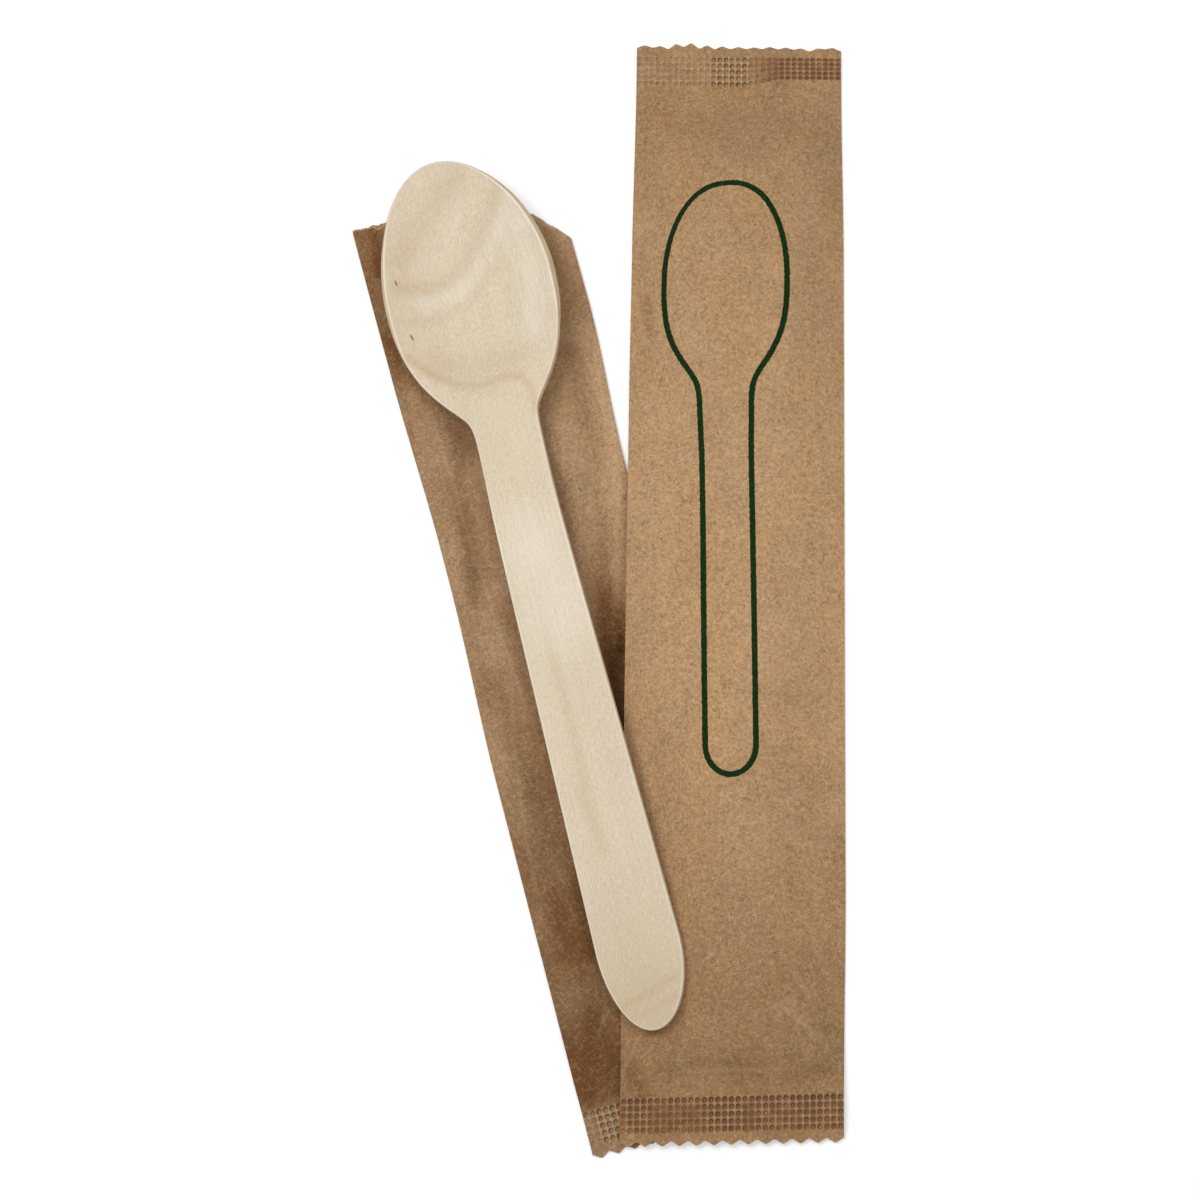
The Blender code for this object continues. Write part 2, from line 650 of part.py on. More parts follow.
def lay_spoon(spoon, papers):
    """Let the spoon down until its bowl rests on the wrapper and its handle on the sachet."""
    neck = BOWL_FRONT - NECK_AT
    pitch, height = 0.0, DROP_HEIGHT
    for _ in range(LAYING_STEPS):
        matrix = spoon_matrix(pitch, height)
        bowl_room, bowl_at = clearance(spoon, matrix, papers, lambda along: along >= neck)
        handle_room, handle_at = clearance(spoon, matrix, papers, lambda along: along < neck)
        pitch += atan2(handle_room - bowl_room, bowl_at - handle_at)
        height -= bowl_room - SPOON_CLEARANCE
    matrix = spoon_matrix(pitch, height)
    room, _ = clearance(spoon, matrix, papers, lambda along: True)
    spoon.matrix_world = spoon_matrix(pitch, height - room + SPOON_CLEARANCE)


def centre_pack(pieces):
    """Parent the pieces to one empty that stands them over the origin, on z = 0."""
    corners = [piece.matrix_world @ vertex.co for piece in pieces for vertex in piece.data.vertices]
    middle = [(min(corner[k] for corner in corners) + max(corner[k] for corner in corners)) / 2
              for k in range(2)]
    pack = bpy.data.objects.new("cutlery_pack", None)
    bpy.context.scene.collection.objects.link(pack)
    for piece in pieces:
        piece.parent = pack
    pack.location = (-middle[0], -middle[1], -min(corner.z for corner in corners))


def main():
    """Build the three pieces and lay them together."""
    clear_scene()
    wrapper = build_wrapper()
    sachet = build_sachet()
    spoon = build_spoon()
    lay_spoon(spoon, [wrapper, sachet])
    centre_pack([wrapper, sachet, spoon])


main()
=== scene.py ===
"""The looks of a wooden cutlery pack: a birch spoon lying on its opened paper sleeve and a sealed one.

Each piece is built in its own place, with x across it, y along it and z up out of the table, and
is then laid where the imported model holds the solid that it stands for. Metres throughout.
"""
from __future__ import annotations

import logging
from dataclasses import dataclass
from enum import Enum
from math import cos, pi, radians, sin, sqrt, tan
from typing import Any, Callable, Iterable, Mapping, Optional, Sequence, Union

import bmesh
import bpy
import numpy as np
from mathutils import Matrix, Vector


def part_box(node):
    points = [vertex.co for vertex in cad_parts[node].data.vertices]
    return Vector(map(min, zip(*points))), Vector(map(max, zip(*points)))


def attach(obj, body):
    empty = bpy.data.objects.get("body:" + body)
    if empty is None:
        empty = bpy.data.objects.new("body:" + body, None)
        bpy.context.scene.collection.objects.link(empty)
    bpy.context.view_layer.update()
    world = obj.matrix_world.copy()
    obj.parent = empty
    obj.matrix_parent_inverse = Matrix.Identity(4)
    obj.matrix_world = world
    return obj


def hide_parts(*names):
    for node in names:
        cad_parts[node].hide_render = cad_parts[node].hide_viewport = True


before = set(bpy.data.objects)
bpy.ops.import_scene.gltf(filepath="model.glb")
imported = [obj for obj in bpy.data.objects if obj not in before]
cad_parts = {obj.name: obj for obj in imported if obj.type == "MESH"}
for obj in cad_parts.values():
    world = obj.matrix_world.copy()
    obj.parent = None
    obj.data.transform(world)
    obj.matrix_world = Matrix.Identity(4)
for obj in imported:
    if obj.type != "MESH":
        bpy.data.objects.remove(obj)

LOG = logging.getLogger("cutlery_pack")
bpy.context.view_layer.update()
MM = 0.001
WELD = 0.002 * MM
BODY = "root"

Colour = tuple[float, float, float]
Field = np.ndarray


def mix(a: Any, b: Any, share: Any) -> Any:
    """Return the value a given share of the way from a to b."""
    return a + (b - a) * share


def ease(low: float, high: float, value: Any) -> Any:
    """Return 0 below low, 1 above high and a smooth rise between.

    Args:
        low: The value at which the rise starts. It may lie above high, for a fall.
        high: The value at which it ends.
        value: A number or an array.

    Returns:
        A share, or an array of them.
    """
    share = np.clip((value - low) / (high - low), 0.0, 1.0)
    return share * share * (3.0 - 2.0 * share)


def even_shares(count: int) -> Field:
    """Return places across a sleeve from -1 to 1."""
    return np.linspace(-1.0, 1.0, count + 1)


class Ripples:
    """A smooth, seeded undulation, the sum of plane waves that run in all directions."""

    def __init__(self, seed: int, wavelength: float, count: int = 14, stretch: float = 1.0) -> None:
        """Draw the waves.

        Args:
            seed: Fixes the pattern.
            wavelength: The mean distance between crests.
            count: How many waves are summed.
            stretch: How much longer the pattern is along y than across.
        """
        draw = np.random.default_rng(seed)
        heading = draw.uniform(0.0, 2 * pi, count)
        pitch = 2 * pi / (wavelength * draw.uniform(0.6, 1.5, count))
        self.across = np.cos(heading) * pitch
        self.along = np.sin(heading) * pitch / stretch
        self.phase = draw.uniform(0.0, 2 * pi, count)
        self.level = 1.0 / sqrt(count / 2)

    def __call__(self, x: Field, y: Field) -> Field:
        """Return the undulation at some places, mostly between -2 and 2."""
        total = np.zeros(np.broadcast(x, y).shape)
        for across, along, phase in zip(self.across, self.along, self.phase):
            total = total + np.sin(x * across + y * along + phase)
        return total * self.level


@dataclass(frozen=True)
class Crease:
    """A soft fold pressed into paper, along a slightly bowed line in the sleeve's own place."""

    start: tuple[float, float]
    end: tuple[float, float]
    height: float
    width: float
    bow: float = 0.0
    softness: float = 0.35

    def _reach(self, x: Field, y: Field) -> tuple[Field, Field]:
        """Return how much of the fold there is, 0 past its ends, and the signed distance from it."""
        begin = np.array(self.start) * MM
        step = np.array(self.end) * MM - begin
        length = float(np.hypot(*step))
        ahead = step / length
        along = ((x - begin[0]) * ahead[0] + (y - begin[1]) * ahead[1]) / length
        aside = -(x - begin[0]) * ahead[1] + (y - begin[1]) * ahead[0]
        aside = aside - self.bow * MM * np.sin(pi * np.clip(along, 0.0, 1.0))
        return ease(-0.05, 0.3, along) * ease(1.05, 0.7, along), aside

    def rise(self, x: Field, y: Field) -> Field:
        """Return how high the paper stands up because of the fold."""
        presence, aside = self._reach(x, y)
        width = self.width * MM
        blunt = np.sqrt(aside ** 2 + (self.softness * width) ** 2) - self.softness * width
        return self.height * MM * np.exp(-blunt / width) * presence

    def line(self, x: Field, y: Field) -> Field:
        """Return 1 on the fold's own line, falling to 0 beside it."""
        presence, aside = self._reach(x, y)
        return np.exp(-((aside / (0.35 * MM)) ** 2)) * presence


@dataclass(frozen=True)
class Shade:
    """A soft streak, darker or paler, along a path of places in millimetres on a piece."""

    strength: float
    width: float
    path: tuple[tuple[float, float], ...]

    def at(self, x: Field, y: Field) -> Field:
        """Return how strong the streak is at some places."""
        nearest = np.full(np.shape(x), 1.0)
        for start, end in zip(self.path, self.path[1:]):
            begin = np.array(start) * MM
            step = np.array(end) * MM - begin
            share = np.clip(((x - begin[0]) * step[0] + (y - begin[1]) * step[1]) / (step @ step), 0.0, 1.0)
            off = np.hypot(x - begin[0] - share * step[0], y - begin[1] - share * step[1])
            nearest = np.minimum(nearest, off)
        return self.strength * np.exp(-((nearest / (self.width * MM)) ** 2))


def shaded(shades: Iterable[Shade], x: Field, y: Field) -> Field:
    """Return how strong many streaks are together."""
    return sum((shade.at(x, y) for shade in shades), np.zeros(np.shape(x)))


def show(name: str, data: bpy.types.ID) -> bpy.types.Object:
    """Put a new object into the scene, and return it."""
    thing = bpy.data.objects.new(name, data)
    bpy.context.scene.collection.objects.link(thing)
    return thing


class MeshMaker:
    """Joins rows of points into one closed mesh and keeps what is marked on each point."""

    def __init__(self, marks: Sequence[str]) -> None:
        """Start an empty mesh.

        Args:
            marks: The names of the values that each point carries for its material.
        """
        self.names = tuple(marks)
        self.points: list[Field] = []
        self.marks: dict[str, list[Field]] = {name: [] for name in self.names}
        self.faces: list[tuple[int, ...]] = []
        self.count = 0

    def row(self, points: Field, **marks: Any) -> Field:
        """Add a row of points.

        Args:
            points: Their coordinates, one line each.
            **marks: Values for the points, 0 where one isn't given.

        Returns:
            The numbers of the new points.
        """
        size = len(points)
        self.points.append(np.asarray(points, float))
        for name in self.names:
            self.marks[name].append(np.broadcast_to(np.asarray(marks.get(name, 0.0), float), size))
        self.count += size
        return np.arange(self.count - size, self.count)

    def sheet(self, grid: Field, **marks: Any) -> list[Field]:
        """Add a grid of rows and join them.

        Args:
            grid: Coordinates by row, then by place in the row.
            **marks: Values by row and place.

        Returns:
            The numbers of the points of each row.
        """
        return self.join_all([self.row(points, **{name: value[k] for name, value in marks.items()})
                              for k, points in enumerate(grid)])

    def join_all(self, rows: list[Field]) -> list[Field]:
        """Join each row to the next, and return them."""
        for first, second in zip(rows, rows[1:]):
            self.join(first, second)
        return rows

    def close(self, sides: Sequence[list[Field]]) -> None:
        """Join two stacks of rows along both their edges."""
        for end in (0, -1):
            self.join(*(np.array([row[end] for row in rows]) for rows in sides))

    def join(self, first: Field, second: Field) -> None:
        """Join two rows, which may have different numbers of points, by where the points lie."""
        if len(first) == len(second):
            quads = np.stack([first[:-1], first[1:], second[1:], second[:-1]], axis=1)
            self.faces.extend(map(tuple, quads.tolist()))
            return
        everything = np.concatenate(self.points)
        shares = []
        for numbers in (first, second):
            steps = np.linalg.norm(np.diff(everything[numbers], axis=0), axis=1)
            shares.append(np.concatenate([[0.0], np.cumsum(steps)]) / steps.sum())
        i, j = 0, 0
        while i < len(first) - 1 or j < len(second) - 1:
            take_first = j == len(second) - 1
            if not take_first and i < len(first) - 1:
                take_first = shares[0][i + 1] <= shares[1][j + 1] + 1e-9
            if take_first:
                self.faces.append((int(first[i]), int(first[i + 1]), int(second[j])))
                i += 1
            else:
                self.faces.append((int(first[i]), int(second[j + 1]), int(second[j])))
                j += 1

    def build(self, name: str, sharp: float) -> bpy.types.Object:
        """Make the object.

        Args:
            name: The piece's name.
            sharp: The angle above which an edge stays sharp.

        Returns:
            The new object, in the scene.
        """
        data = bpy.data.meshes.new(name)
        data.from_pydata(np.concatenate(self.points).tolist(), [], self.faces)
        for mark, rows in self.marks.items():
            layer = data.attributes.new(mark, "FLOAT", "POINT")
            layer.data.foreach_set("value", np.concatenate(rows).astype(np.float32))
        skin = bmesh.new()
        skin.from_mesh(data)
        bmesh.ops.remove_doubles(skin, verts=skin.verts, dist=WELD)
        bmesh.ops.recalc_face_normals(skin, faces=skin.faces)
        skin.to_mesh(data)
        skin.free()
        data.shade_smooth()
        data.set_sharp_from_angle(angle=sharp)
        return show(name, data)


Number = Union[float, int, "Signal"]
Feed = Union[float, int, Sequence[float], "Signal"]


def operator(kind: str, reflected: bool = False) -> Callable[["Signal", Number], "Signal"]:
    """Return a method that adds a Math node, with its two values swapped where it is reflected."""
    def apply(self: "Signal", other: Number) -> "Signal":
        return self.math(kind, *((other, self) if reflected else (self, other)))
    return apply


class Signal:
    """What flows out of one socket of a material, for use in Python expressions."""

    def __init__(self, graph: "Graph", socket: bpy.types.NodeSocket) -> None:
        """Wrap a socket of a graph."""
        self.graph = graph
        self.socket = socket

    def math(self, kind: str, *values: Number) -> "Signal":
        """Return the result of a Math node."""
        return self.graph.node("ShaderNodeMath", {"operation": kind}, dict(enumerate(values)))

    __add__, __radd__ = operator("ADD"), operator("ADD", True)
    __sub__, __rsub__ = operator("SUBTRACT"), operator("SUBTRACT", True)
    __mul__, __rmul__ = operator("MULTIPLY"), operator("MULTIPLY", True)
    __truediv__, __rtruediv__ = operator("DIVIDE"), operator("DIVIDE", True)
    __pow__, __rpow__ = operator("POWER"), operator("POWER", True)
    smallest, largest = operator("MINIMUM"), operator("MAXIMUM")

    def __abs__(self) -> "Signal":
        """Return the size of the value without its sign."""
        return self.math("ABSOLUTE", self)

    def fraction(self) -> "Signal":
        """Return what is left of the value over its whole number."""
        return self.math("FRACT", self)

    def between(self, low: float, high: float) -> "Signal":
        """Return a smooth rise from 0 at low to 1 at high, or a fall where low is above high."""
        ends = (low, high, 0.0, 1.0) if low <= high else (high, low, 1.0, 0.0)
        return self.graph.node("ShaderNodeMapRange", {"interpolation_type": "SMOOTHSTEP"},
                               dict(enumerate((self, *ends))))


class Graph:
    """The node tree of one new material."""

    def __init__(self, name: str, roughness: float) -> None:
        """Make the material, with a roughness that is the same all over it."""
        self.material = bpy.data.materials.new(name)
        self.material.use_nodes = True
        self.tree = self.material.node_tree
        self.shader = self.tree.nodes["Principled BSDF"]
        self.shader.inputs["Roughness"].default_value = roughness
        self.colour: Feed = (1.0, 1.0, 1.0)

    def node(self, kind: str, settings: Mapping[str, Any], inputs: Mapping[Union[int, str], Feed],
             output: Union[int, str] = 0) -> Signal:
        """Add any node.

        Args:
            kind: The node's type.
            settings: What is set on it first.
            inputs: Values or signals for its sockets, by number or name.
            output: The socket to return.

        Returns:
            The signal that leaves the chosen socket.
        """
        made = self.tree.nodes.new(kind)
        for name, value in settings.items():
            setattr(made, name, value)
        for name, value in inputs.items():
            self.feed(made.inputs[name], value)
        return Signal(self, made.outputs[output])

    def feed(self, socket: bpy.types.NodeSocket, value: Feed) -> None:
        """Link a signal to a socket, or set the socket's own value."""
        if isinstance(value, Signal):
            self.tree.links.new(value.socket, socket)
        elif isinstance(value, (int, float)):
            socket.default_value = value
        else:
            socket.default_value = (*value, 1.0)[:len(socket.default_value)]

    def place(self) -> Signal:
        """Return the place on the piece, in the coordinates that it was built in."""
        return self.node("ShaderNodeAttribute", {"attribute_name": "place"}, {}, "Vector")

    def mark(self, name: str) -> Signal:
        """Return a value that the mesh carries on its points."""
        return self.node("ShaderNodeAttribute", {"attribute_name": name}, {}, "Fac")

    def noise(self, place: Signal, size: float, detail: float = 2.0, rough: float = 0.5,
              warp: float = 0.0) -> Signal:
        """Return smooth noise about 0.5, with lumps of a size, finer layers and a twist."""
        return self.node("ShaderNodeTexNoise", {"noise_dimensions": "3D"},
                         {"Vector": place, "Scale": 1.0 / size, "Detail": detail,
                          "Roughness": rough, "Distortion": warp}, "Fac")

    def stretch(self, place: Signal, along: Sequence[float], shift: Sequence[float] = (0, 0, 0)) -> Signal:
        """Return a place scaled by a factor on each axis, after a shift."""
        moved = self.node("ShaderNodeVectorMath", {"operation": "ADD"}, {0: place, 1: shift})
        return self.node("ShaderNodeVectorMath", {"operation": "MULTIPLY"}, {0: moved, 1: along})

    def turn(self, place: Signal, angle: float) -> Signal:
        """Return a place turned about z."""
        return self.node("ShaderNodeVectorRotate", {"rotation_type": "Z_AXIS"},
                         {"Vector": place, "Angle": angle})

    def lay(self, share: Number, over: Feed, way: str = "MIX") -> None:
        """Lay a share of a colour over the surface's own, by one of the Mix node's blend types."""
        self.colour = self.node("ShaderNodeMix", {"data_type": "RGBA", "blend_type": way},
                                {0: share, 6: self.colour, 7: over}, 2)

    def shade(self, colour: Feed, level: Signal) -> Signal:
        """Return a colour made lighter or darker by a factor."""
        return self.node("ShaderNodeVectorMath", {"operation": "SCALE"}, {0: colour, "Scale": level})

    def finish(self, height: Optional[Signal] = None, depth: float = 0.0) -> bpy.types.Material:
        """Feed the shader its colour and the relief of its fine texture, and return the material."""
        self.feed(self.shader.inputs["Base Color"], self.colour)
        if height is not None:
            bump = self.node("ShaderNodeBump", {}, {"Strength": 1.0, "Distance": depth, "Height": height})
            self.feed(self.shader.inputs["Normal"], bump)
        return self.material


@dataclass(frozen=True)
class KraftPaper:
    """Thin brown paper: cloudy, full of short light and dark fibres, with faint machine lines."""

    name: str
    slot: str
    colour: Colour
    pale: Colour = (0.66, 0.48, 0.30)
    deep: Colour = (0.13, 0.065, 0.03)
    mottling_and_shade_tint: Colour = (0.34, 0.228, 0.138)
    baked: Colour = (0.90, 0.68, 0.52)
    cool: Colour = (0.975, 0.995, 1.03)
    warm: Colour = (1.02, 0.99, 0.93)
    ink: Colour = (0.002, 0.024, 0.003)
    gloss: float = 0.12
    line_width: float = 1.02 * MM
    roughness: float = 0.86
    relief: float = 0.028 * MM

    def _fibres(self, graph: Graph, place: Signal, turn: float, size: float, gate: float) -> Signal:
        """Return a mask of short curved hairs, of one heading."""
        turned = graph.stretch(graph.turn(place, turn), (1.0, 0.42, 1.0), (turn, size, 0.0))
        thread = 1.0 - abs(graph.noise(turned, size, 1.0, 0.4, 0.5) - 0.5).between(0.0, 0.07)
        return thread * graph.noise(turned, size * 1.4, 1.0).between(gate, gate + 0.04)

    def material(self, printed: bool) -> bpy.types.Material:
        """Make the paper, with or without the printed outline."""
        graph = Graph(self.name, self.roughness)
        graph.shader.inputs["Specular IOR Level"].default_value = self.gloss
        place = graph.place()
        cloud = graph.noise(place, 26 * MM, 3.0, 0.55)
        patch = graph.noise(place, 5 * MM, 3.0, 0.6)
        grain = graph.noise(place, 0.62 * MM, 2.0, 0.7)
        speck = graph.noise(graph.turn(place, 0.6), 0.40 * MM, 1.0, 0.6)
        machine = graph.noise(graph.stretch(place, (1.0, 0.06, 1.0)), 0.9 * MM, 2.0, 0.6)
        level = -0.12 + 0.24 * cloud + 0.22 * patch + 0.95 * grain + 0.68 * speck + 0.15 * machine
        graph.colour = graph.shade(self.colour, level)
        hue = graph.noise(graph.stretch(place, (1.0, 0.5, 1.0)), 8 * MM, 3.0, 0.6)
        graph.lay(hue.between(0.45, 0.70) * 0.9, self.cool, "MULTIPLY")
        graph.lay(hue.between(0.55, 0.32) * 0.9, self.warm, "MULTIPLY")
        # The darkening mark: random mottling of the paper, darkening towards the ends, and painted shade
        # and shadow in folds, beside the spoon and in the crevice by the sachet.
        tone = graph.mark("tone")
        graph.lay(tone.smallest(1.0), self.mottling_and_shade_tint, "MULTIPLY")
        dark = self._fibres(graph, place, 0.4, 0.70 * MM, 0.62).largest(
            self._fibres(graph, place, 2.0, 0.50 * MM, 0.60))
        light = self._fibres(graph, place, 1.2, 0.55 * MM, 0.53).largest(
            self._fibres(graph, place, 2.7, 0.42 * MM, 0.53))
        strong = 1.0 - 0.6 * tone.smallest(1.0)
        graph.lay(dark * strong * 0.42, self.deep)
        graph.lay(light * strong * 0.40, self.pale)
        # Past 1 the mark darkens the colour on towards black: a painted shadow in the crevice between the
        # spoon's handle and the sachet.
        graph.colour = graph.shade(graph.colour, 1.0 - 0.92 * tone.between(0.95, 2.0))
        worn = graph.mark("worn")
        graph.lay(worn * 0.35, self.pale)
        self._crimps(graph, place)
        torn = graph.mark("torn") + 0.5 * (graph.noise(place, 0.5 * MM, 2.0) - 0.5)
        graph.lay(torn.between(0.55, 0.9) * 0.55, self.pale)
        if printed:
            self._print(graph, place, grain)
        height = grain * 0.5 + speck * 0.3 + light * 0.3 + machine * 0.2
        return graph.finish(height, self.relief)

    def _crimps(self, graph: Graph, place: Signal) -> None:
        """Lay on the seal's stains, the painted shadow in its pockets, dark at their upper side, and the
        painted highlight on its pale ridges.
        """
        press = graph.mark("press")
        column = graph.mark("cell_x").fraction() - 0.5
        row = graph.mark("cell_y").fraction() - 0.5
        outer = ((column / 0.42) ** 2.0 + (row / 0.45) ** 2.0) ** 0.5
        inner = (((column - 0.07) / 0.28) ** 2.0 + ((row + 0.18) / 0.36) ** 2.0) ** 0.5
        pocket = outer.between(1.15, 0.80)
        painted_pocket_shadow = pocket * (1.0 - 0.85 * inner.between(1.3, 0.5))
        stain = graph.mark("stain") * graph.noise(place, 2.4 * MM, 2.0, 0.6).between(0.25, 0.65)
        graph.lay(graph.mark("stain").smallest(1.0), self.baked, "MULTIPLY")
        graph.lay(stain * 0.70, self.deep)
        # Painted highlight on the ridges between the pockets, then painted shadow inside the pockets,
        # darkest at their upper side.
        graph.lay((1.0 - pocket) * press.smallest(1.0) * 0.36, self.pale)
        graph.lay((painted_pocket_shadow * press * 0.85).smallest(0.9), self.deep)

    def _print(self, graph: Graph, place: Signal, grain: Signal) -> None:
        """Lay on the ink of the printed outline, soaked into the paper."""
        wander = (graph.noise(place, 0.5 * MM, 2.0, 0.6) - 0.5) * (0.30 * MM)
        reach = abs(graph.mark("print_line")) + wander
        inked = reach.between(self.line_width / 2 + 0.05 * MM, self.line_width / 2 - 0.05 * MM)
        thin = graph.noise(place, 0.55 * MM, 2.0, 0.7).between(0.45, 0.85)
        graph.lay(inked * (0.995 - 0.05 * thin), graph.shade(self.ink, 0.4 + 1.2 * grain))


@dataclass(frozen=True)
class BirchVeneer:
    """Unfinished rotary-cut birch, with long fine grain, soft figure and brown pith flecks."""

    name: str = "birch_veneer"
    slot: str = "wood"
    colour: Colour = (0.715, 0.600, 0.440)
    pale: Colour = (0.86, 0.80, 0.69)
    tan: Colour = (0.54, 0.375, 0.20)
    fleck: Colour = (0.33, 0.11, 0.045)
    wall: Colour = (0.70, 0.53, 0.345)
    roughness: float = 0.62
    gloss: float = 0.35
    relief: float = 0.018 * MM
    flecks: tuple[tuple[float, float, float], ...] = ((-12.7, 5.1, 0.75), (-12.3, -5.6, 0.9))

    def material(self) -> bpy.types.Material:
        """Make the wood."""
        graph = Graph(self.name, self.roughness)
        graph.shader.inputs["Specular IOR Level"].default_value = self.gloss
        place = graph.place()
        long_grain = graph.noise(graph.stretch(place, (1.0, 0.030, 1.0)), 0.50 * MM, 3.0, 0.65)
        dash = graph.noise(graph.stretch(place, (1.0, 0.22, 1.0)), 0.24 * MM, 1.0, 0.5)
        sand = graph.noise(place, 0.34 * MM, 1.0, 0.5)
        broad = graph.noise(graph.stretch(place, (1.0, 0.10, 1.0)), 5 * MM, 2.0, 0.5)
        haze = graph.noise(place, 15 * MM, 2.0, 0.5)
        level = 0.48 + 0.22 * long_grain + 0.12 * broad + 0.10 * haze + 0.28 * dash + 0.32 * sand
        graph.colour = graph.shade(self.colour, level)
        bend = (haze - 0.5) * 1.2 + (long_grain - 0.5) * 0.9
        # The tan mark darkens the wood for its figure and for painted shade.
        tan = (graph.mark("tan") * (1.0 + bend)).largest(0.0)
        graph.lay(tan.smallest(1.0), self.tan)
        # The light mark lays on pale figure and painted highlight, the rim's pale line among them.
        graph.lay((graph.mark("light") * (1.0 + bend)).between(0.0, 1.0), self.pale)
        graph.lay(dash.between(0.60, 0.76) * 0.20, self.pale)
        graph.lay(dash.between(0.40, 0.25) * 0.20, self.tan)
        for x, y, length in self.flecks:
            graph.lay(self._fleck(graph, place, x * MM, y * MM, length * MM), self.fleck)
        plies = graph.noise(graph.stretch(place, (0.1, 0.1, 1.0)), 0.35 * MM, 2.0, 0.6)
        graph.lay(graph.mark("edge"), graph.shade(self.wall, 0.7 + 0.6 * plies))
        height = long_grain * 0.8 + dash * 0.3 + sand * 0.3
        return graph.finish(height, self.relief)

    def _fleck(self, graph: Graph, place: Signal, x: float, y: float, length: float) -> Signal:
        """Return the mask of one short brown fleck along the grain."""
        moved = graph.turn(graph.stretch(place, (1.0, 1.0, 0.0), (-x, -y, 0.0)), radians(-10))
        moved = graph.stretch(moved, (1.0 / (0.24 * MM), 1.0 / length, 0.0))
        reach = graph.node("ShaderNodeVectorMath", {"operation": "LENGTH"}, {0: moved}, "Value")
        ragged = reach + (graph.noise(place, 0.4 * MM, 2.0) - 0.5) * 0.8
        return ragged.between(1.1, 0.35) * 0.9


@dataclass(frozen=True)
class StudioWhite:
    """The white surface that the pack lies on, which takes its shadow."""

    name: str = "studio_white"
    lit: Colour = (0.80, 0.80, 0.80)
    lift: float = 0.36
    far_lift: float = 0.62
    near: float = 0.2
    far: float = 0.7

    def material(self) -> bpy.types.Material:
        """Make the floor's material, lifted to white for the camera and for gloss, not for its bounce.

        The lift is greater far from the pack, where the lamps give no light.
        """
        graph = Graph(self.name, 0.95)
        first = graph.node("ShaderNodeLightPath", {}, {}, "Is Camera Ray")
        rays = first.socket.node.outputs
        seen = first
        for kind in ("Is Glossy Ray", "Is Transmission Ray"):
            seen = seen.largest(Signal(graph, rays[kind]))
        graph.shader.inputs["Emission Strength"].default_value = 1.0
        here = graph.node("ShaderNodeTexCoord", {}, {}, "Object")
        reach = graph.node("ShaderNodeVectorMath", {"operation": "LENGTH"}, {0: here}, "Value")
        lift = self.lift + (self.far_lift - self.lift) * reach.between(self.near, self.far)
        graph.feed(graph.shader.inputs["Emission Color"], graph.shade((1.0, 1.0, 1.0), seen * lift))
        graph.colour = self.lit
        return graph.finish()


@dataclass(frozen=True)
class Lie:
    """Where a sleeve lies on the table and which way it points."""

    x: float
    y: float
    turn: float

    def to_table(self, across: Field, along: Field) -> tuple[Field, Field]:
        """Return the table place of a place on the sleeve."""
        return (self.x + across * cos(self.turn) - along * sin(self.turn),
                self.y + across * sin(self.turn) + along * cos(self.turn))

    def from_table(self, x: Field, y: Field) -> tuple[Field, Field]:
        """Return the place on the sleeve over a place on the table."""
        dx, dy = x - self.x, y - self.y
        return (dx * cos(self.turn) + dy * sin(self.turn),
                -dx * sin(self.turn) + dy * cos(self.turn))

    def matrix(self) -> Matrix:
        """Return the sleeve's turn as a matrix."""
        return Matrix.Rotation(self.turn, 4, "Z")


def seat_on_node(piece: bpy.types.Object, node: str, turn: Matrix, lift: bool) -> None:
    """Turn a piece and shift it so that its box is centred on the box of the solid it stands for.

    Each point keeps the place that it was built in, for the materials.

    Args:
        piece: The piece, as it was built.
        node: The solid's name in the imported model.
        turn: How the piece is turned on the table.
        lift: Whether the height follows too.
    """
    data = piece.data
    built = np.empty(len(data.vertices) * 3, dtype=np.float32)
    data.vertices.foreach_get("co", built)
    layer = data.attributes.new("place", "FLOAT_VECTOR", "POINT")
    layer.data.foreach_set("vector", built)
    turned = built.reshape(-1, 3) @ np.array(turn.to_3x3()).T
    low, high = (np.array(corner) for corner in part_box(node))
    shift = (low + high) / 2 - (turned.min(axis=0) + turned.max(axis=0)) / 2
    if not lift:
        shift[2] = 0.0
    data.vertices.foreach_set("co", (turned + shift).astype(np.float32).ravel())
    data.update()


SACHET_LIE = Lie(24.7 * MM, 0.4 * MM, radians(-1.0))
WRAPPER_LIE = Lie(18.2 * MM, -95.7 * MM, radians(15.0))
SLEEVE_MARKS = ("press", "cell_x", "cell_y", "stain", "worn", "torn", "tone", "print_line")


class Face(Enum):
    """The two sides of a sleeve."""

    FRONT = "front"
    BACK = "back"


@dataclass(frozen=True)
class SpoonOutline:
    """Half of a spoon's outline: an egg-shaped bowl, a handle with a round end, a fillet between."""

    length: float
    bowl_half: float
    bowl_front: float
    bowl_back: float
    front_bend: tuple[float, float]
    back_bend: tuple[float, float]
    neck_at: float
    neck_half: float
    end_half: float
    end_round: float
    fillet: float
    fillet_full: float
    fillet_fade: float
    fillet_end: float

    @property
    def end_at(self) -> float:
        """Return where the round end starts."""
        return self.length - self.end_round

    def half_width(self, along: Field) -> Field:
        """Return half the width at distances from the bowl's tip: the wider of bowl and handle."""
        front = np.clip((self.bowl_front - along) / self.bowl_front, 0.0, 1.0)
        back = np.clip((along - self.bowl_front) / self.bowl_back, 0.0, 1.0)
        bowl = self.bowl_half * np.where(
            along < self.bowl_front, (1 - front ** self.front_bend[0]) ** self.front_bend[1],
            (1 - back ** self.back_bend[0]) ** self.back_bend[1])
        share = np.minimum((along - self.neck_at) / (self.end_at - self.neck_at), 1.0)
        reach = np.clip((along - self.end_at) / self.end_round, 0.0, 1.0)
        handle = mix(self.neck_half, self.end_half, share) * np.sqrt(1 - reach ** 2)
        fillet = (self.fillet * ease(self.bowl_front, self.fillet_full, along)
                  * ease(self.fillet_end, self.fillet_fade, along))
        joined = (bowl + handle + np.sqrt((bowl - handle) ** 2 + fillet ** 2)) / 2
        return np.where(along <= self.bowl_front, bowl, joined)


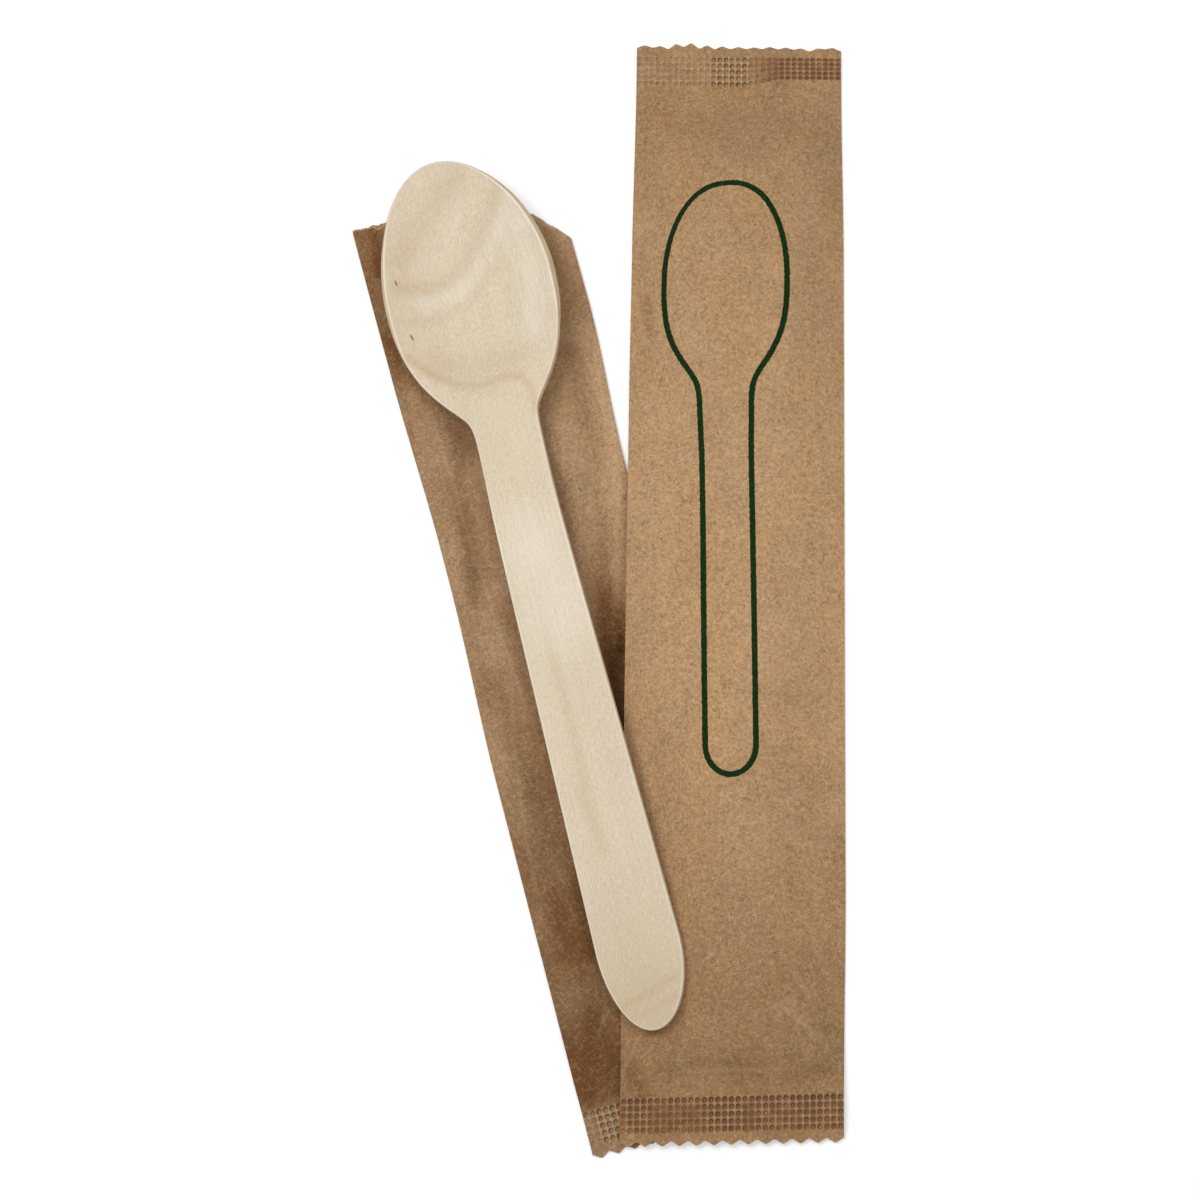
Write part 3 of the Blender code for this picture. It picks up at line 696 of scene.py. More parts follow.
@dataclass
class WoodenSpoon:
    """The pressed birch spoon."""

    outline: SpoonOutline = SpoonOutline(
        length=160.0 * MM, bowl_half=15.3 * MM, bowl_front=24.6 * MM, bowl_back=29.4 * MM,
        front_bend=(1.8, 0.5), back_bend=(2.86, 1.1), neck_at=50.0 * MM, neck_half=5.75 * MM,
        end_half=7.4 * MM, end_round=14.4 * MM, fillet=1.9 * MM, fillet_full=42.2 * MM,
        fillet_fade=50.0 * MM, fillet_end=70.0 * MM)
    veneer: float = 1.8 * MM
    rounding: float = 0.45 * MM
    tip_lean: float = 0.9 * MM
    end_lean: float = 0.4 * MM
    neck_lean: float = 0.5 * MM
    lean_reach: float = 12.0 * MM
    dish_depth: float = 4.4 * MM
    dish_length: float = 43.6 * MM
    dish_width: float = 32.5 * MM
    dish_inset: float = 1.7 * MM
    dish_shoulder: float = 0.12
    turn: float = radians(14.4)
    roll: float = radians(-4.4)
    pitch: float = radians(1.2436)
    slope_step: float = 0.05 * MM
    columns: int = 60
    finish: BirchVeneer = BirchVeneer()
    # Tan streaks: figure across the bowl and along the handle; the arc along the dish's lower edge and the
    # broad streak just inside it are painted shade.
    tan_figure_and_shade_streaks: tuple[Shade, ...] = (
        Shade(0.30, 1.7, ((-12.7, 4.1), (-6.5, 2.4), (-1.6, 4.1), (4.2, 9.3), (9.8, 15.8))),
        Shade(0.24, 2.4, ((-11.0, 9.0), (-7.4, 12.8), (-1.6, 17.9), (3.5, 21.5))),
        Shade(0.14, 1.1, ((-12.5, -2.5), (-6.7, -3.2), (-1.1, -1.5), (4.5, 2.9))),
        Shade(0.40, 0.75, ((-14.0, -9.2), (-10.4, -13.6), (-6.6, -16.6), (-2.1, -18.4), (2.0, -17.8),
                           (5.5, -19.0), (6.7, -21.9), (6.4, -25.9))),
        Shade(0.22, 2.6, ((-9.0, -11.5), (-2.0, -15.0), (5.0, -14.5))),
        Shade(0.22, 1.1, ((-2.1, -64.0), (-1.5, -77.0), (-1.5, -88.9), (-2.4, -95.0), (-1.5, -104.0))),
        Shade(0.26, 0.7, ((-5.0, -130.4), (-1.0, -129.5), (4.8, -127.5))),
        Shade(0.18, 0.6, ((-3.5, -132.6), (4.0, -130.8))))
    # Pale streaks: the first two are bands of figure in the bowl; the one down the bowl's right side and
    # the broad one on the middle of the handle are painted highlight.
    pale_figure_and_highlights: tuple[Shade, ...] = (
        Shade(0.34, 2.3, ((-9.5, 0.2), (-3.0, 0.8), (2.5, 4.9), (8.5, 10.6), (11.0, 14.3))),
        Shade(0.20, 1.6, ((-9.0, 7.0), (-3.0, 10.0), (3.5, 16.5))),
        Shade(0.45, 3.0, ((11.5, 8.0), (11.5, -3.7), (9.5, -11.0))),
        Shade(0.40, 7.0, ((0.0, -47.0), (0.0, -64.0))))

    def centreline(self, along: Field) -> Field:
        """Return how far the middle of the outline leans to the side."""
        form = self.outline
        tip = np.clip((form.bowl_front - along) / form.bowl_front, 0.0, 1.0)
        end = np.clip((along - form.end_at) / form.end_round, 0.0, 1.0)
        neck = np.exp(-((along - form.neck_at) / self.lean_reach) ** 2)
        return self.neck_lean * neck - self.tip_lean * tip ** 2 - self.end_lean * end ** 2

    def dish(self, along: Field, across: Field) -> Field:
        """Return how far the veneer is pressed down at places on the spoon."""
        middle = self.dish_inset + self.dish_length / 2
        inside = (1.0 - ((along - middle) / (self.dish_length / 2)) ** 2
                  - (across / (self.dish_width / 2)) ** 2)
        shoulder = self.dish_shoulder
        eased = np.maximum(inside + shoulder, 0.0) ** 2 / (4 * shoulder)
        return self.dish_depth * np.where(inside < shoulder, eased, inside)

    def on_veneer(self, along: Field, across: Field, below: Field) -> Field:
        """Return points at a depth under the veneer's top face, measured square to it."""
        nudge = self.slope_step
        slope_along = (self.dish(along + nudge, across) - self.dish(along - nudge, across)) / (2 * nudge)
        slope_across = (self.dish(along, across + nudge) - self.dish(along, across - nudge)) / (2 * nudge)
        square = np.stack([slope_across, slope_along, np.ones_like(slope_along)], axis=-1)
        square /= np.linalg.norm(square, axis=-1, keepdims=True)
        place = np.stack([across, along, -self.dish(along, across)], axis=-1)
        place = place - square * np.asarray(below)[..., None]
        place[..., 1] = self.outline.bowl_front - place[..., 1]
        return place

    def stations(self) -> Field:
        """Return distances from the tip of the bowl, closer together where the outline turns."""
        form = self.outline
        front = form.bowl_front * (1 - np.cos(pi / 2 * np.arange(64) / 64))
        bowl = np.linspace(form.bowl_front, form.fillet_end, 110, endpoint=False)
        handle = np.linspace(form.fillet_end, form.end_at, 120, endpoint=False)
        end = form.length - form.end_round * (1 - np.sin(pi / 2 * np.arange(49) / 48))
        return np.concatenate([front, bowl, handle, end])

    def tan_figure_and_shade_at(self, x: Field, y: Field) -> Field:
        """Return how far the wood is tinted tan: painted shade on the left of the bowl, more towards the
        end of the handle, and streaks of figure and painted shade.
        """
        tail = self.outline.bowl_front - self.outline.length
        return (0.08 * ease(-4 * MM, -13 * MM, x) * ease(-28 * MM, -10 * MM, y)
                + 0.06 * ease(-14 * MM, -22 * MM, y) * ease(-45 * MM, -30 * MM, y)
                + 0.22 * ease(tail + 32 * MM, tail + 6 * MM, y)
                + 0.15 * ease(tail + 15 * MM, tail + 4 * MM, y) + shaded(self.tan_figure_and_shade_streaks, x, y))

    def rim(self) -> list[tuple[float, ...]]:
        """Return the section of an edge, top to bottom.

        Returns:
            For each of its points the inset, the depth and how much it is wall, tan line and pale line; the
            pale line is a painted highlight along the rounded edge.
        """
        steps = np.linspace(0.0, pi / 2, 5)
        # The third value of each look is the pale line near the top of the rounding, a painted highlight.
        looks = ((0.0, 0.0, 0.0), (0.0, 0.0, 0.7), (0.0, 0.15, 0.45), (0.4, 0.8, 0.0), (1.0, 0.5, 0.0))
        top = [(self.rounding * (1 - sin(a)), self.rounding * (1 - cos(a)), *look)
               for a, look in zip(steps, looks)]
        wall = [(0.0, mix(self.rounding, self.veneer - self.rounding, t), 1.0, 0.0, 0.0)
                for t in (0.25, 0.5, 0.75)]
        base = [(inset, self.veneer - depth, *look) for inset, depth, *look in reversed(top)]
        return top + wall + base

    def build(self) -> bpy.types.Object:
        """Build, dress and place the spoon, and return it."""
        maker = MeshMaker(("edge", "tan", "light"))
        stations = self.stations()
        outline = list(zip(stations, self.outline.half_width(stations), self.centreline(stations)))
        rings = []
        spread = np.linspace(-1.0, 1.0, self.columns + 1)[1:-1]
        ones = np.ones_like(spread)
        for k, (along, half, lean) in enumerate(outline):
            before, after = outline[max(k - 1, 0)], outline[min(k + 1, len(outline) - 1)]
            out = Vector((-(after[1] - before[1]), after[0] - before[0])).normalized()
            if k in (0, len(outline) - 1):
                out = Vector((-1.0 if k == 0 else 1.0, 0.0))
            section = np.array([(along - inset * out.x, max(half - inset * out.y, 0.0), *rest)
                                for inset, *rest in self.rim()])
            u, v, depth, *looks = section.T
            ring = np.concatenate([
                self.on_veneer(ones * u[0], lean + v[0] * spread, 0 * ones),
                self.on_veneer(u, lean + v, depth),
                self.on_veneer(ones * u[-1], lean - v[-1] * spread, ones * self.veneer),
                self.on_veneer(u[::-1], lean - v[::-1], depth[::-1])])
            ring = np.concatenate([ring, ring[:1]])
            wall, line, pale = (np.concatenate([0 * spread, look, 0 * spread, look[::-1], [0.0]])
                                for look in looks)
            x, y = ring[:, 0], ring[:, 1]
            # The light mark also takes the rim's pale line, a painted highlight.
            rings.append(maker.row(ring, edge=wall, tan=self.tan_figure_and_shade_at(x, y) + line,
                                   light=shaded(self.pale_figure_and_highlights, x, y) + pale))
        maker.join_all(rings)
        spoon = maker.build("birch_spoon", radians(50))
        spoon.data.materials.append(self.finish.material())
        lie = (Matrix.Rotation(self.turn, 4, "Z") @ Matrix.Rotation(self.pitch, 4, "X")
               @ Matrix.Rotation(self.roll, 4, "Y"))
        seat_on_node(spoon, "wooden_spoon", lie, lift=True)
        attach(spoon, BODY)
        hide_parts("wooden_spoon")
        return spoon


@dataclass
class Sleeve:
    """What both sleeves share: the tube of paper, its folded fin, its folds and its crimped seals."""

    width: float = 38.3 * MM
    paper: float = 0.1 * MM
    band: float = 6.0 * MM
    lip: float = 2.1 * MM
    cut_depth: float = 0.8 * MM
    teeth: int = 13
    cells_across: int = 33
    cells_along: int = 5
    press_depth: float = 0.19 * MM
    fin_width: float = 10.0 * MM
    fin_thickness: float = 0.2 * MM
    fin_step: float = 0.15 * MM
    taper: float = 17.0 * MM
    length: float = 197.2 * MM
    pinch: float = 0.0
    wear: float = 0.35
    seal_columns: int = 234
    body_columns: int = 117
    body_rows: int = 300
    back_columns: int = 39
    back_rows: int = 80
    patterns: tuple[SealPattern, ...] = ()
    ripples: tuple[tuple[int, float, float, float], ...] = ()
    soil: tuple[int, float, float, float] = (0, 1.0, 1.0, 0.0)
    creases: tuple[Crease, ...] = ()
    shades: tuple[Shade, ...] = ()

    @property
    def half(self) -> float:
        """Return half the sleeve's width."""
        return self.width / 2

    @property
    def seal(self) -> float:
        """Return the depth of a whole seal, from the points of its cut."""
        return self.band + self.lip

    @property
    def back_level(self) -> float:
        """Return the height of the back over the table: it lies on its folded fin."""
        return self.fin_thickness

    def wash(self, across: Field, along: Field) -> Field:
        """Return the broad part of the paper's darkening, 0 leaving it bright."""
        raise NotImplementedError

    def ends(self, share: Field) -> tuple[Field, Field]:
        """Return where the sleeve's ends lie at places across it."""
        return 0.0 * share, self.length + 0.0 * share

    def lift_at(self, across: Field, along: Field) -> Field:
        """Return how far the back stands off the table for what lies under it."""
        return 0.0 * across

    def band_at(self, share: Field, high_end: bool) -> Field:
        """Return the depth of the crimped band at places across the sleeve."""
        return self.band + 0.0 * share

    def raggedness(self, share: Field) -> Field:
        """Return how far the upper cut stands back from an even zigzag."""
        return 0.0 * share

    def tone_and_shade_at(self, across: Field, along: Field) -> Field:
        """Return how far the paper is darkened at places on the sleeve: random mottling, the broad
        darkening and the streaks, partly painted shade and shadow.
        """
        seed, size, stretch, level = self.soil
        total = self.wash(across, along) + shaded(self.shades, across, along)
        return np.maximum(total + level * Ripples(seed, size, stretch=stretch)(across, along), 0.0)

    def relief(self, x: Field, y: Field) -> Field:
        """Return the cockling and the folds of the front."""
        rises = [Ripples(seed, size, stretch=stretch)(x, y) * height
                 for seed, size, stretch, height in self.ripples]
        return sum(rises + [crease.rise(x, y) for crease in self.creases])

    def zigzag(self, share: Field) -> Field:
        """Return how far the cut stands back from its points at places across the sleeve."""
        phase = (share + 1) / 2 * self.teeth
        saw = np.abs(2 * (phase - np.floor(phase)) - 1)
        return self.cut_depth * ease(-0.12, 1.12, saw)

    def fin_drop(self, share: Field) -> Field:
        """Return how far the back drops to the folded fin at places across the sleeve."""
        edge = self.fin_width / self.width
        return self.fin_thickness * ease(edge + 2 * self.fin_step / self.width, edge, np.abs(share))

    def seal_row(self, maker: MeshMaker, share: Field, lip: float, depth: float, high_end: bool,
                 face: Face) -> Field:
        """Add one row of a seal, pressed into pockets.

        Args:
            maker: Takes the row.
            share: Places across the sleeve, -1 to 1.
            lip: The row's place on the lip, 0 at the cut to 1.
            depth: Its place in the crimped band, 0 at the band's outer edge to 1.
            high_end: Whether this is the upper seal.
            face: The side of the sleeve.

        Returns:
            The numbers of the new points.
        """
        cut = self.zigzag(share) + (self.raggedness(share) if high_end else 0.0)
        back = mix(cut, self.lip, lip) + depth * self.band_at(share, high_end)
        low, high = self.ends(share)
        along = high - back if high_end else low + back
        across = share * (self.half - self.pinch)
        level = self.back_level + self.lift_at(across, along) + 2 * self.paper * (face is Face.FRONT)
        column = (share + 1) / 2 * self.cells_across
        row = (1.0 - depth if high_end else depth) * self.cells_along
        aside, ahead = (np.abs(2 * (cell - np.floor(cell)) - 1) for cell in (column, row))
        pattern = self.patterns[high_end]
        inside = float(0.0 < depth < 1.0)
        strength = pattern.strength(share, depth) * inside
        pocket = ease(0.98, 0.45, aside) * ease(1.0, 0.5, ahead)
        level = np.maximum(level + 0.05 * MM * inside - self.press_depth * pocket * strength, 0.02 * MM)
        return maker.row(np.stack([across, along, level], axis=-1), press=strength, cell_x=column,
                         cell_y=row, stain=pattern.stained(share) * inside, print_line=1.0,
                         tone=self.tone_and_shade_at(across, along))

    def seal_face(self, maker: MeshMaker, high_end: bool, face: Face) -> list[Field]:
        """Add one face of one seal and return its rows, the cut edge first."""
        lip_rows, band_rows = (3, 36) if face is Face.FRONT else (1, 12)
        shares = even_shares(self.seal_columns if face is Face.FRONT else self.back_columns * 2)
        rows = [self.seal_row(maker, even_shares(self.seal_columns), 0.0, 0.0, high_end, face)]
        rows += [self.seal_row(maker, shares, (k + 1) / (lip_rows + 1), 0.0, high_end, face)
                 for k in range(lip_rows)]
        rows += [self.seal_row(maker, shares, 1.0, k / band_rows, high_end, face)
                 for k in range(band_rows + 1)]
        return maker.join_all(rows)

    def skin(self, maker: MeshMaker, grid: Field, **marks: Any) -> list[Field]:
        """Add a grid of paper, with its wear and its tone, and return its rows."""
        x, y = grid[..., 0], grid[..., 1]
        worn = self.wear * sum(crease.line(x, y) for crease in self.creases)
        return maker.sheet(grid, worn=worn, tone=self.tone_and_shade_at(x, y), **marks)


@dataclass(frozen=True)
class SealPattern:
    """How strongly a seal is pressed, and how it is stained, from place to place."""

    seed: int
    strong: tuple[tuple[float, float, float], ...]
    weak: float = 0.40
    inner_row: float = 0.35
    stain_from: float = 1.0
    stain: float = 0.0

    def strength(self, share: Field, depth: Field) -> Field:
        """Return how deep the pockets are at places in the band, about 0 to 1.3."""
        total = np.full(np.broadcast(share, depth).shape, self.weak)
        for start, end, level in self.strong:
            total = np.maximum(total, level * ease(start - 0.04, start + 0.02, share)
                               * ease(end + 0.04, end - 0.02, share))
        spots = Ripples(self.seed, 2.2)(np.asarray(share) * 19.0, np.asarray(depth) * 6.0)
        return (total + self.inner_row * ease(0.78, 0.84, depth)) * (1.0 + 0.16 * spots)

    def stained(self, share: Field) -> Field:
        """Return how brown the paper has been stained at places across the sleeve."""
        return self.stain * ease(self.stain_from - 0.15, self.stain_from + 0.25, share)


@dataclass(frozen=True)
class PrintedOutline:
    """The printed outline of a spoon, and where it lies on the sleeve."""

    form: SpoonOutline = SpoonOutline(
        length=106.4 * MM, bowl_half=11.05 * MM, bowl_front=17.5 * MM, bowl_back=23.2 * MM,
        front_bend=(2.0, 0.43), back_bend=(2.8, 1.15), neck_at=50.0 * MM, neck_half=4.36 * MM,
        end_half=4.36 * MM, end_round=5.2 * MM, fillet=2.0 * MM, fillet_full=29.1 * MM,
        fillet_fade=40.7 * MM, fillet_end=54.62 * MM)
    x: float = -2.5 * MM
    top: float = 69.75 * MM
    turn: float = radians(1.2)
    top_lean: float = 1.1 * MM
    lean_reach: float = 13.0 * MM

    def distance(self, x: Field, y: Field) -> Field:
        """Return how far places on the sleeve lie outside the outline's line, less than 0 inside."""
        dx, dy = x - self.x, y - self.top
        across = dx * cos(self.turn) + dy * sin(self.turn)
        along = -(-dx * sin(self.turn) + dy * cos(self.turn))
        across = np.abs(across - self.top_lean * np.exp(-np.maximum(along, 0.0) / self.lean_reach))
        length = self.form.length
        steps = (1 - np.cos(np.linspace(0.0, pi, 260))) / 2 * length
        line = np.stack([self.form.half_width(steps), steps], axis=-1)
        line[0, 0] = line[-1, 0] = 0.0
        flat = np.stack([across.ravel(), along.ravel()], axis=-1)
        best = np.full(len(flat), 1.0)
        for start, end in zip(line, line[1:]):
            step = end - start
            share = np.clip((flat - start) @ step / (step @ step), 0.0, 1.0)
            best = np.minimum(best, np.linalg.norm(flat - start - share[:, None] * step, axis=1))
        inside = across < self.form.half_width(np.clip(along, 0.0, length))
        inside = inside & (along > 0.0) & (along < length)
        return np.where(inside, -1.0, 1.0) * best.reshape(np.shape(x))


@dataclass
class SealedSachet(Sleeve):
    """The sachet that is still sealed, swollen by the spoon inside it."""

    top_slant: float = radians(2.6)
    bottom_slant: float = radians(2.4)
    bowl_height: float = 6.4 * MM
    handle_height: float = 3.2 * MM
    pinch: float = 0.35 * MM
    end_room: float = 10.5 * MM
    pinch_reach: float = 34.0 * MM
    bowl_front: float = 24.6 * MM
    bowl_back: float = 29.4 * MM
    bowl_crown: float = 0.3
    dome_side: float = 2.4
    dome_top: float = 1.2
    fold_at: float = 15.0 * MM
    fold_width: float = 2.6 * MM
    fold_depth: float = 0.55 * MM
    lift: float = 1.1 * MM
    drape: float = 7.0 * MM
    drape_start: float = 2.5 * MM
    top_squeeze: float = 0.27
    wear: float = 0.5
    outline: PrintedOutline = PrintedOutline()
    finish: KraftPaper = KraftPaper("sealed_kraft", "sealed_paper", (0.472, 0.288, 0.145))
    patterns: tuple[SealPattern, ...] = (
        SealPattern(11, ((-0.95, -0.72, 0.75), (-0.25, 0.10, 1.0), (0.18, 0.55, 0.7), (0.5, 1.05, 0.8)),
                    0.45, 0.4, -1.2, 0.85),
        SealPattern(12, ((-0.26, 0.10, 0.95), (0.40, 1.05, 0.8)), 0.35, 0.15, 0.2, 0.9))
    ripples: tuple[tuple[int, float, float, float], ...] = (
        (3, 22 * MM, 1.6, 0.10 * MM), (5, 8 * MM, 1.5, 0.025 * MM))
    soil: tuple[int, float, float, float] = (31, 14 * MM, 1.0, 0.03)
    # The darker streaks along the creases and folds are painted shade; the broad one on the right darkens
    # that side, and the two paler ones lighten the lower lip and the upper seal's left.
    shades: tuple[Shade, ...] = (
        Shade(0.25, 1.2, ((-16.3, 49.4), (-15.3, 40.9))), Shade(0.3, 1.4, ((-17.5, -86.0), (-15.0, -90.5))),
        Shade(0.18, 2.0, ((-12.0, -86.5), (15.0, -86.0))), Shade(0.10, 1.6, ((8.0, -67.0), (15.0, -79.0))),
        Shade(0.11, 6.5, ((11.0, -4.0), (10.0, -34.0))), Shade(-0.15, 1.5, ((-17.0, -99.0), (17.0, -98.0))),
        Shade(-0.07, 3.5, ((-15.0, 95.0), (-8.0, 95.0))))
    creases: tuple[Crease, ...] = (
        Crease((8.0, -67.0), (15.0, -79.0), 0.35, 1.6, 0.8),
        Crease((12.5, -60.0), (18.5, -74.0), 0.30, 1.8, -0.6),
        Crease((6.0, -74.0), (17.5, -84.5), 0.30, 1.5, 0.7),
        Crease((-18.6, -88.0), (-13.0, -77.0), 0.35, 1.4, 0.5),
        Crease((-18.5, 52.0), (-14.0, 38.0), 0.30, 1.6, -0.7),
        Crease((-18.5, 44.0), (-12.5, 36.0), 0.25, 1.3, 0.5),
        Crease((-12.0, -86.0), (14.0, -85.0), -0.35, 2.2, -0.8))

    def wash(self, across: Field, along: Field) -> Field:
        """Return the broad darkening: more towards both ends."""
        return (0.43 * ease(-15 * MM, -92 * MM, along) + 0.07 * ease(0.0, 40 * MM, along)
                + 0.20 * ease(52 * MM, 86 * MM, along))

    def lift_at(self, across: Field, along: Field) -> Field:
        """Return how far the back stands off the table where the wrapper is under it."""
        aside, ahead = WRAPPER_LIE.from_table(*SACHET_LIE.to_table(across, along))
        over_side = ease(-self.drape, 0.0, self.half + self.drape_start - np.abs(aside))
        return self.lift * over_side * ease(-self.drape, 0.0, ahead + self.drape_start)

    def ends(self, share: Field) -> tuple[Field, Field]:
        """Return where the cut ends lie at places across the sachet."""
        across = share * self.half
        return (-self.length / 2 + across * tan(self.bottom_slant),
                self.length / 2 - across * tan(self.top_slant))

    def surface(self, share: Field, along: Field, face: Face) -> Field:
        """Return points on one side of the sachet's body, in the sachet's own place."""
        low, high = self.ends(share)
        from_low, from_high = along - low - self.seal, high - self.seal - along
        drawn_in = self.pinch * ease(self.pinch_reach, 0.0, np.minimum(from_low, from_high))
        across = share * (self.half - drawn_in)
        base = self.back_level + self.lift_at(across, along)
        if face is Face.BACK:
            within = (from_low > 0.01 * MM) & (from_high > 0.01 * MM)
            return np.stack([across, along, base - within * self.fin_drop(share)], axis=-1)
        height = self.height(share, from_low, from_high)
        swell = ease(0.0, 3.0 * MM, np.minimum(from_low, from_high)) * (1 - np.abs(share) ** 8)
        return np.stack([across, along, base + height + self.relief(across, along) * swell], axis=-1)

    def height(self, share: Field, from_low: Field, from_high: Field) -> Field:
        """Return the sachet's thickness at distances from its two seals."""
        along = ease(0.0, self.taper, from_low) * ease(0.0, self.taper, from_high)
        middle = self.end_room + self.bowl_front
        bowl = ease(self.bowl_front + self.bowl_back, self.bowl_front * self.bowl_crown,
                    np.abs(from_high - middle))
        full = mix(self.handle_height, self.bowl_height, bowl)
        fold = self.fold_depth * np.exp(-((from_low - self.fold_at) / self.fold_width) ** 2)
        dome = (1 - np.abs(share) ** self.dome_side) ** self.dome_top
        return 2 * self.paper + (full - 2 * self.paper - fold) * along * dome

    def band_at(self, share: Field, high_end: bool) -> Field:
        """Return the crimped band's depth at places across: the upper one is narrower on the right."""
        return self.band * (1.0 - self.top_squeeze * high_end * ease(0.02, 0.45, share))

    def raggedness(self, share: Field) -> Field:
        """Return how far the upper cut stands back from an even zigzag."""
        shallow = ease(-0.30, -0.05, share) + ease(-0.62, -0.85, share)
        tall = 0.35 * MM * np.exp(-((share + 0.45) / 0.2) ** 2)
        flat = 0.5 * shallow * (0.5 * self.cut_depth - self.zigzag(share))
        return flat - tall + 0.12 * MM * Ripples(17, 0.35)(share, 0.0 * share)

    def build(self) -> bpy.types.Object:
        """Build, dress and place the sachet, and return it."""
        maker = MeshMaker(SLEEVE_MARKS)
        sides = []
        for face, columns, count in ((Face.FRONT, self.body_columns, self.body_rows),
                                     (Face.BACK, self.back_columns, self.back_rows)):
            low_rows, high_rows = (self.seal_face(maker, high_end, face) for high_end in (False, True))
            share = even_shares(columns)[None, :]
            seat = np.linspace(0.0, 1.0, count + 1)[1:-1, None]
            low, high = self.ends(share)
            along = mix(low + self.seal, high - self.lip - self.band_at(share, True), seat)
            grid = self.surface(np.broadcast_to(share, along.shape), along, face)
            line = self.outline.distance(grid[..., 0], grid[..., 1])
            body = self.skin(maker, grid, print_line=line if face is Face.FRONT else np.ones_like(line))
            maker.join(low_rows[-1], body[0])
            maker.join(body[-1], high_rows[-1])
            sides.append(low_rows + body + high_rows[::-1])
        maker.close(sides)
        for end in (0, -1):
            maker.join(sides[0][end], sides[1][end])
        sachet = maker.build("kraft_sachet", radians(60))
        sachet.data.materials.append(self.finish.material(printed=True))
        seat_on_node(sachet, "sealed_sachet", SACHET_LIE.matrix(), lift=False)
        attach(sachet, BODY)
        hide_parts("sealed_sachet")
        return sachet


@dataclass
class OpenedWrapper(Sleeve):
    """The empty sleeve, torn open across its top end and still sealed at its foot."""

    torn_off: float = 24.4 * MM
    tear_drop: float = 13.5 * MM
    tear_start: float = -2.0 * MM
    tear_bend: float = 2.2
    torn_lip: float = 1.3 * MM
    jag: float = 0.25 * MM
    layer_gap: float = 0.4 * MM
    swell: float = 1.7 * MM
    fold_share: float = 0.45
    fold_spread: float = 0.8
    fold_wander: float = 0.18
    wander_length: float = 30.0 * MM
    mouth_swell: float = 1.6 * MM
    mouth_length: float = 22.0 * MM
    sachet_shadow: float = 2.5 * MM
    sachet_rise: float = 6.0 * MM
    pressed_reach: float = 13.0 * MM
    pressed_core: float = 4.5 * MM
    bowl_place: tuple[float, float] = (-22.4 * MM, 51.9 * MM)
    left_waist: tuple[float, float, float] = (0.8 * MM, 67.0 * MM, 143.0 * MM)
    right_waist: tuple[float, float, float] = (1.6 * MM, 55.0 * MM, 148.0 * MM)
    waist_slope: float = 35.0 * MM
    mouth_flare: float = 0.3 * MM
    finish: KraftPaper = KraftPaper("opened_kraft", "opened_paper", (0.485, 0.312, 0.172))
    patterns: tuple[SealPattern, ...] = (SealPattern(21, ((-0.90, 1.05, 0.9),), 0.35, 0.35, -0.6, 0.4),)
    ripples: tuple[tuple[int, float, float, float], ...] = (
        (7, 18 * MM, 2.2, 0.18 * MM), (9, 6 * MM, 1.5, 0.03 * MM))
    soil: tuple[int, float, float, float] = (33, 9 * MM, 1.8, 0.05)
    # Painted shadow and shade: beside the spoon's handle, in the fold valleys, by the sachet's left edge
    # and in the upper left corner; the one paler streak is a painted highlight on a fold's ridge.
    shades: tuple[Shade, ...] = (
        Shade(0.25, 1.2, ((-14.8, 174.0), (-16.5, 163.0))),
        Shade(0.25, 2.6, ((-17.6, 150.0), (-13.5, 140.0), (-8.1, 127.5))),
        Shade(0.20, 1.6, ((-10.8, 130.0), (-12.7, 113.5), (-14.5, 98.8))),
        Shade(-0.08, 2.0, ((-15.8, 125.0), (-17.0, 105.0))),
        Shade(0.16, 2.6, ((-14.6, 121.0), (-12.8, 104.0))),
        Shade(0.14, 2.2, ((-14.3, 84.0), (-13.2, 65.1), (-14.2, 51.0), (-13.8, 30.0))),
        Shade(0.22, 2.0, ((-9.0, 96.0), (-10.0, 70.0), (-10.5, 34.0))),
        Shade(0.32, 2.4, ((14.4, 138.0), (10.4, 106.0), (7.1, 90.0))),
        Shade(0.35, 0.8, ((18.9, 118.4), (14.9, 105.3), (10.6, 91.5), (8.1, 82.9))),
        Shade(0.12, 2.0, ((10.4, 102.0), (9.0, 94.0))))
    creases: tuple[Crease, ...] = (
        Crease((-17.5, 40.0), (-10.0, 92.0), -0.5, 3.2, 1.5),
        Crease((-9.0, 62.0), (-13.5, 150.0), -0.55, 3.0, 1.5),
        Crease((-16.5, 135.0), (-13.5, 168.0), 0.35, 1.6, 0.6),
        Crease((-14.0, 18.0), (-9.0, 24.0), 0.45, 0.9, 0.6),
        Crease((8.0, 96.0), (14.5, 128.0), -0.4, 3.0, 1.0))

    def wash(self, across: Field, along: Field) -> Field:
        """Return the broad darkening: painted shade towards the foot and along the left edge near the
        mouth, painted light on the right, and a painted shadow in the crevice between the spoon's handle
        and the sachet.
        """
        # Painted shade: darker towards the foot, and along the left edge near the mouth.
        foot = 0.40 * ease(88 * MM, 30 * MM, along) + 0.25 * ease(28 * MM, 14 * MM, along)
        left = ease(-9 * MM, -17 * MM, across) * ease(128 * MM, 160 * MM, along)
        # Painted light: paler on the right side.
        painted_light_right = (ease(3 * MM, 13 * MM, across) * ease(80 * MM, 100 * MM, along)
                 * ease(150 * MM, 125 * MM, along))
        # Painted shadow: near black in the crevice between the spoon's handle and the sachet.
        aside = across - 4.6 * MM - 0.18 * (along - 70 * MM)
        gap = (ease(100 * MM, 79 * MM, along) * ease(30 * MM, 60 * MM, along)
               * np.exp(-((aside / (3.0 * MM)) ** 2)))
        foot = foot * mix(0.1, 1.0, ease(6 * MM, 10 * MM, along))
        return 0.38 + foot + 0.44 * left - 0.36 * painted_light_right + 1.15 * gap

    @property
    def mouth(self) -> float:
        """Return the length of what is left of the sleeve."""
        return self.length - self.torn_off

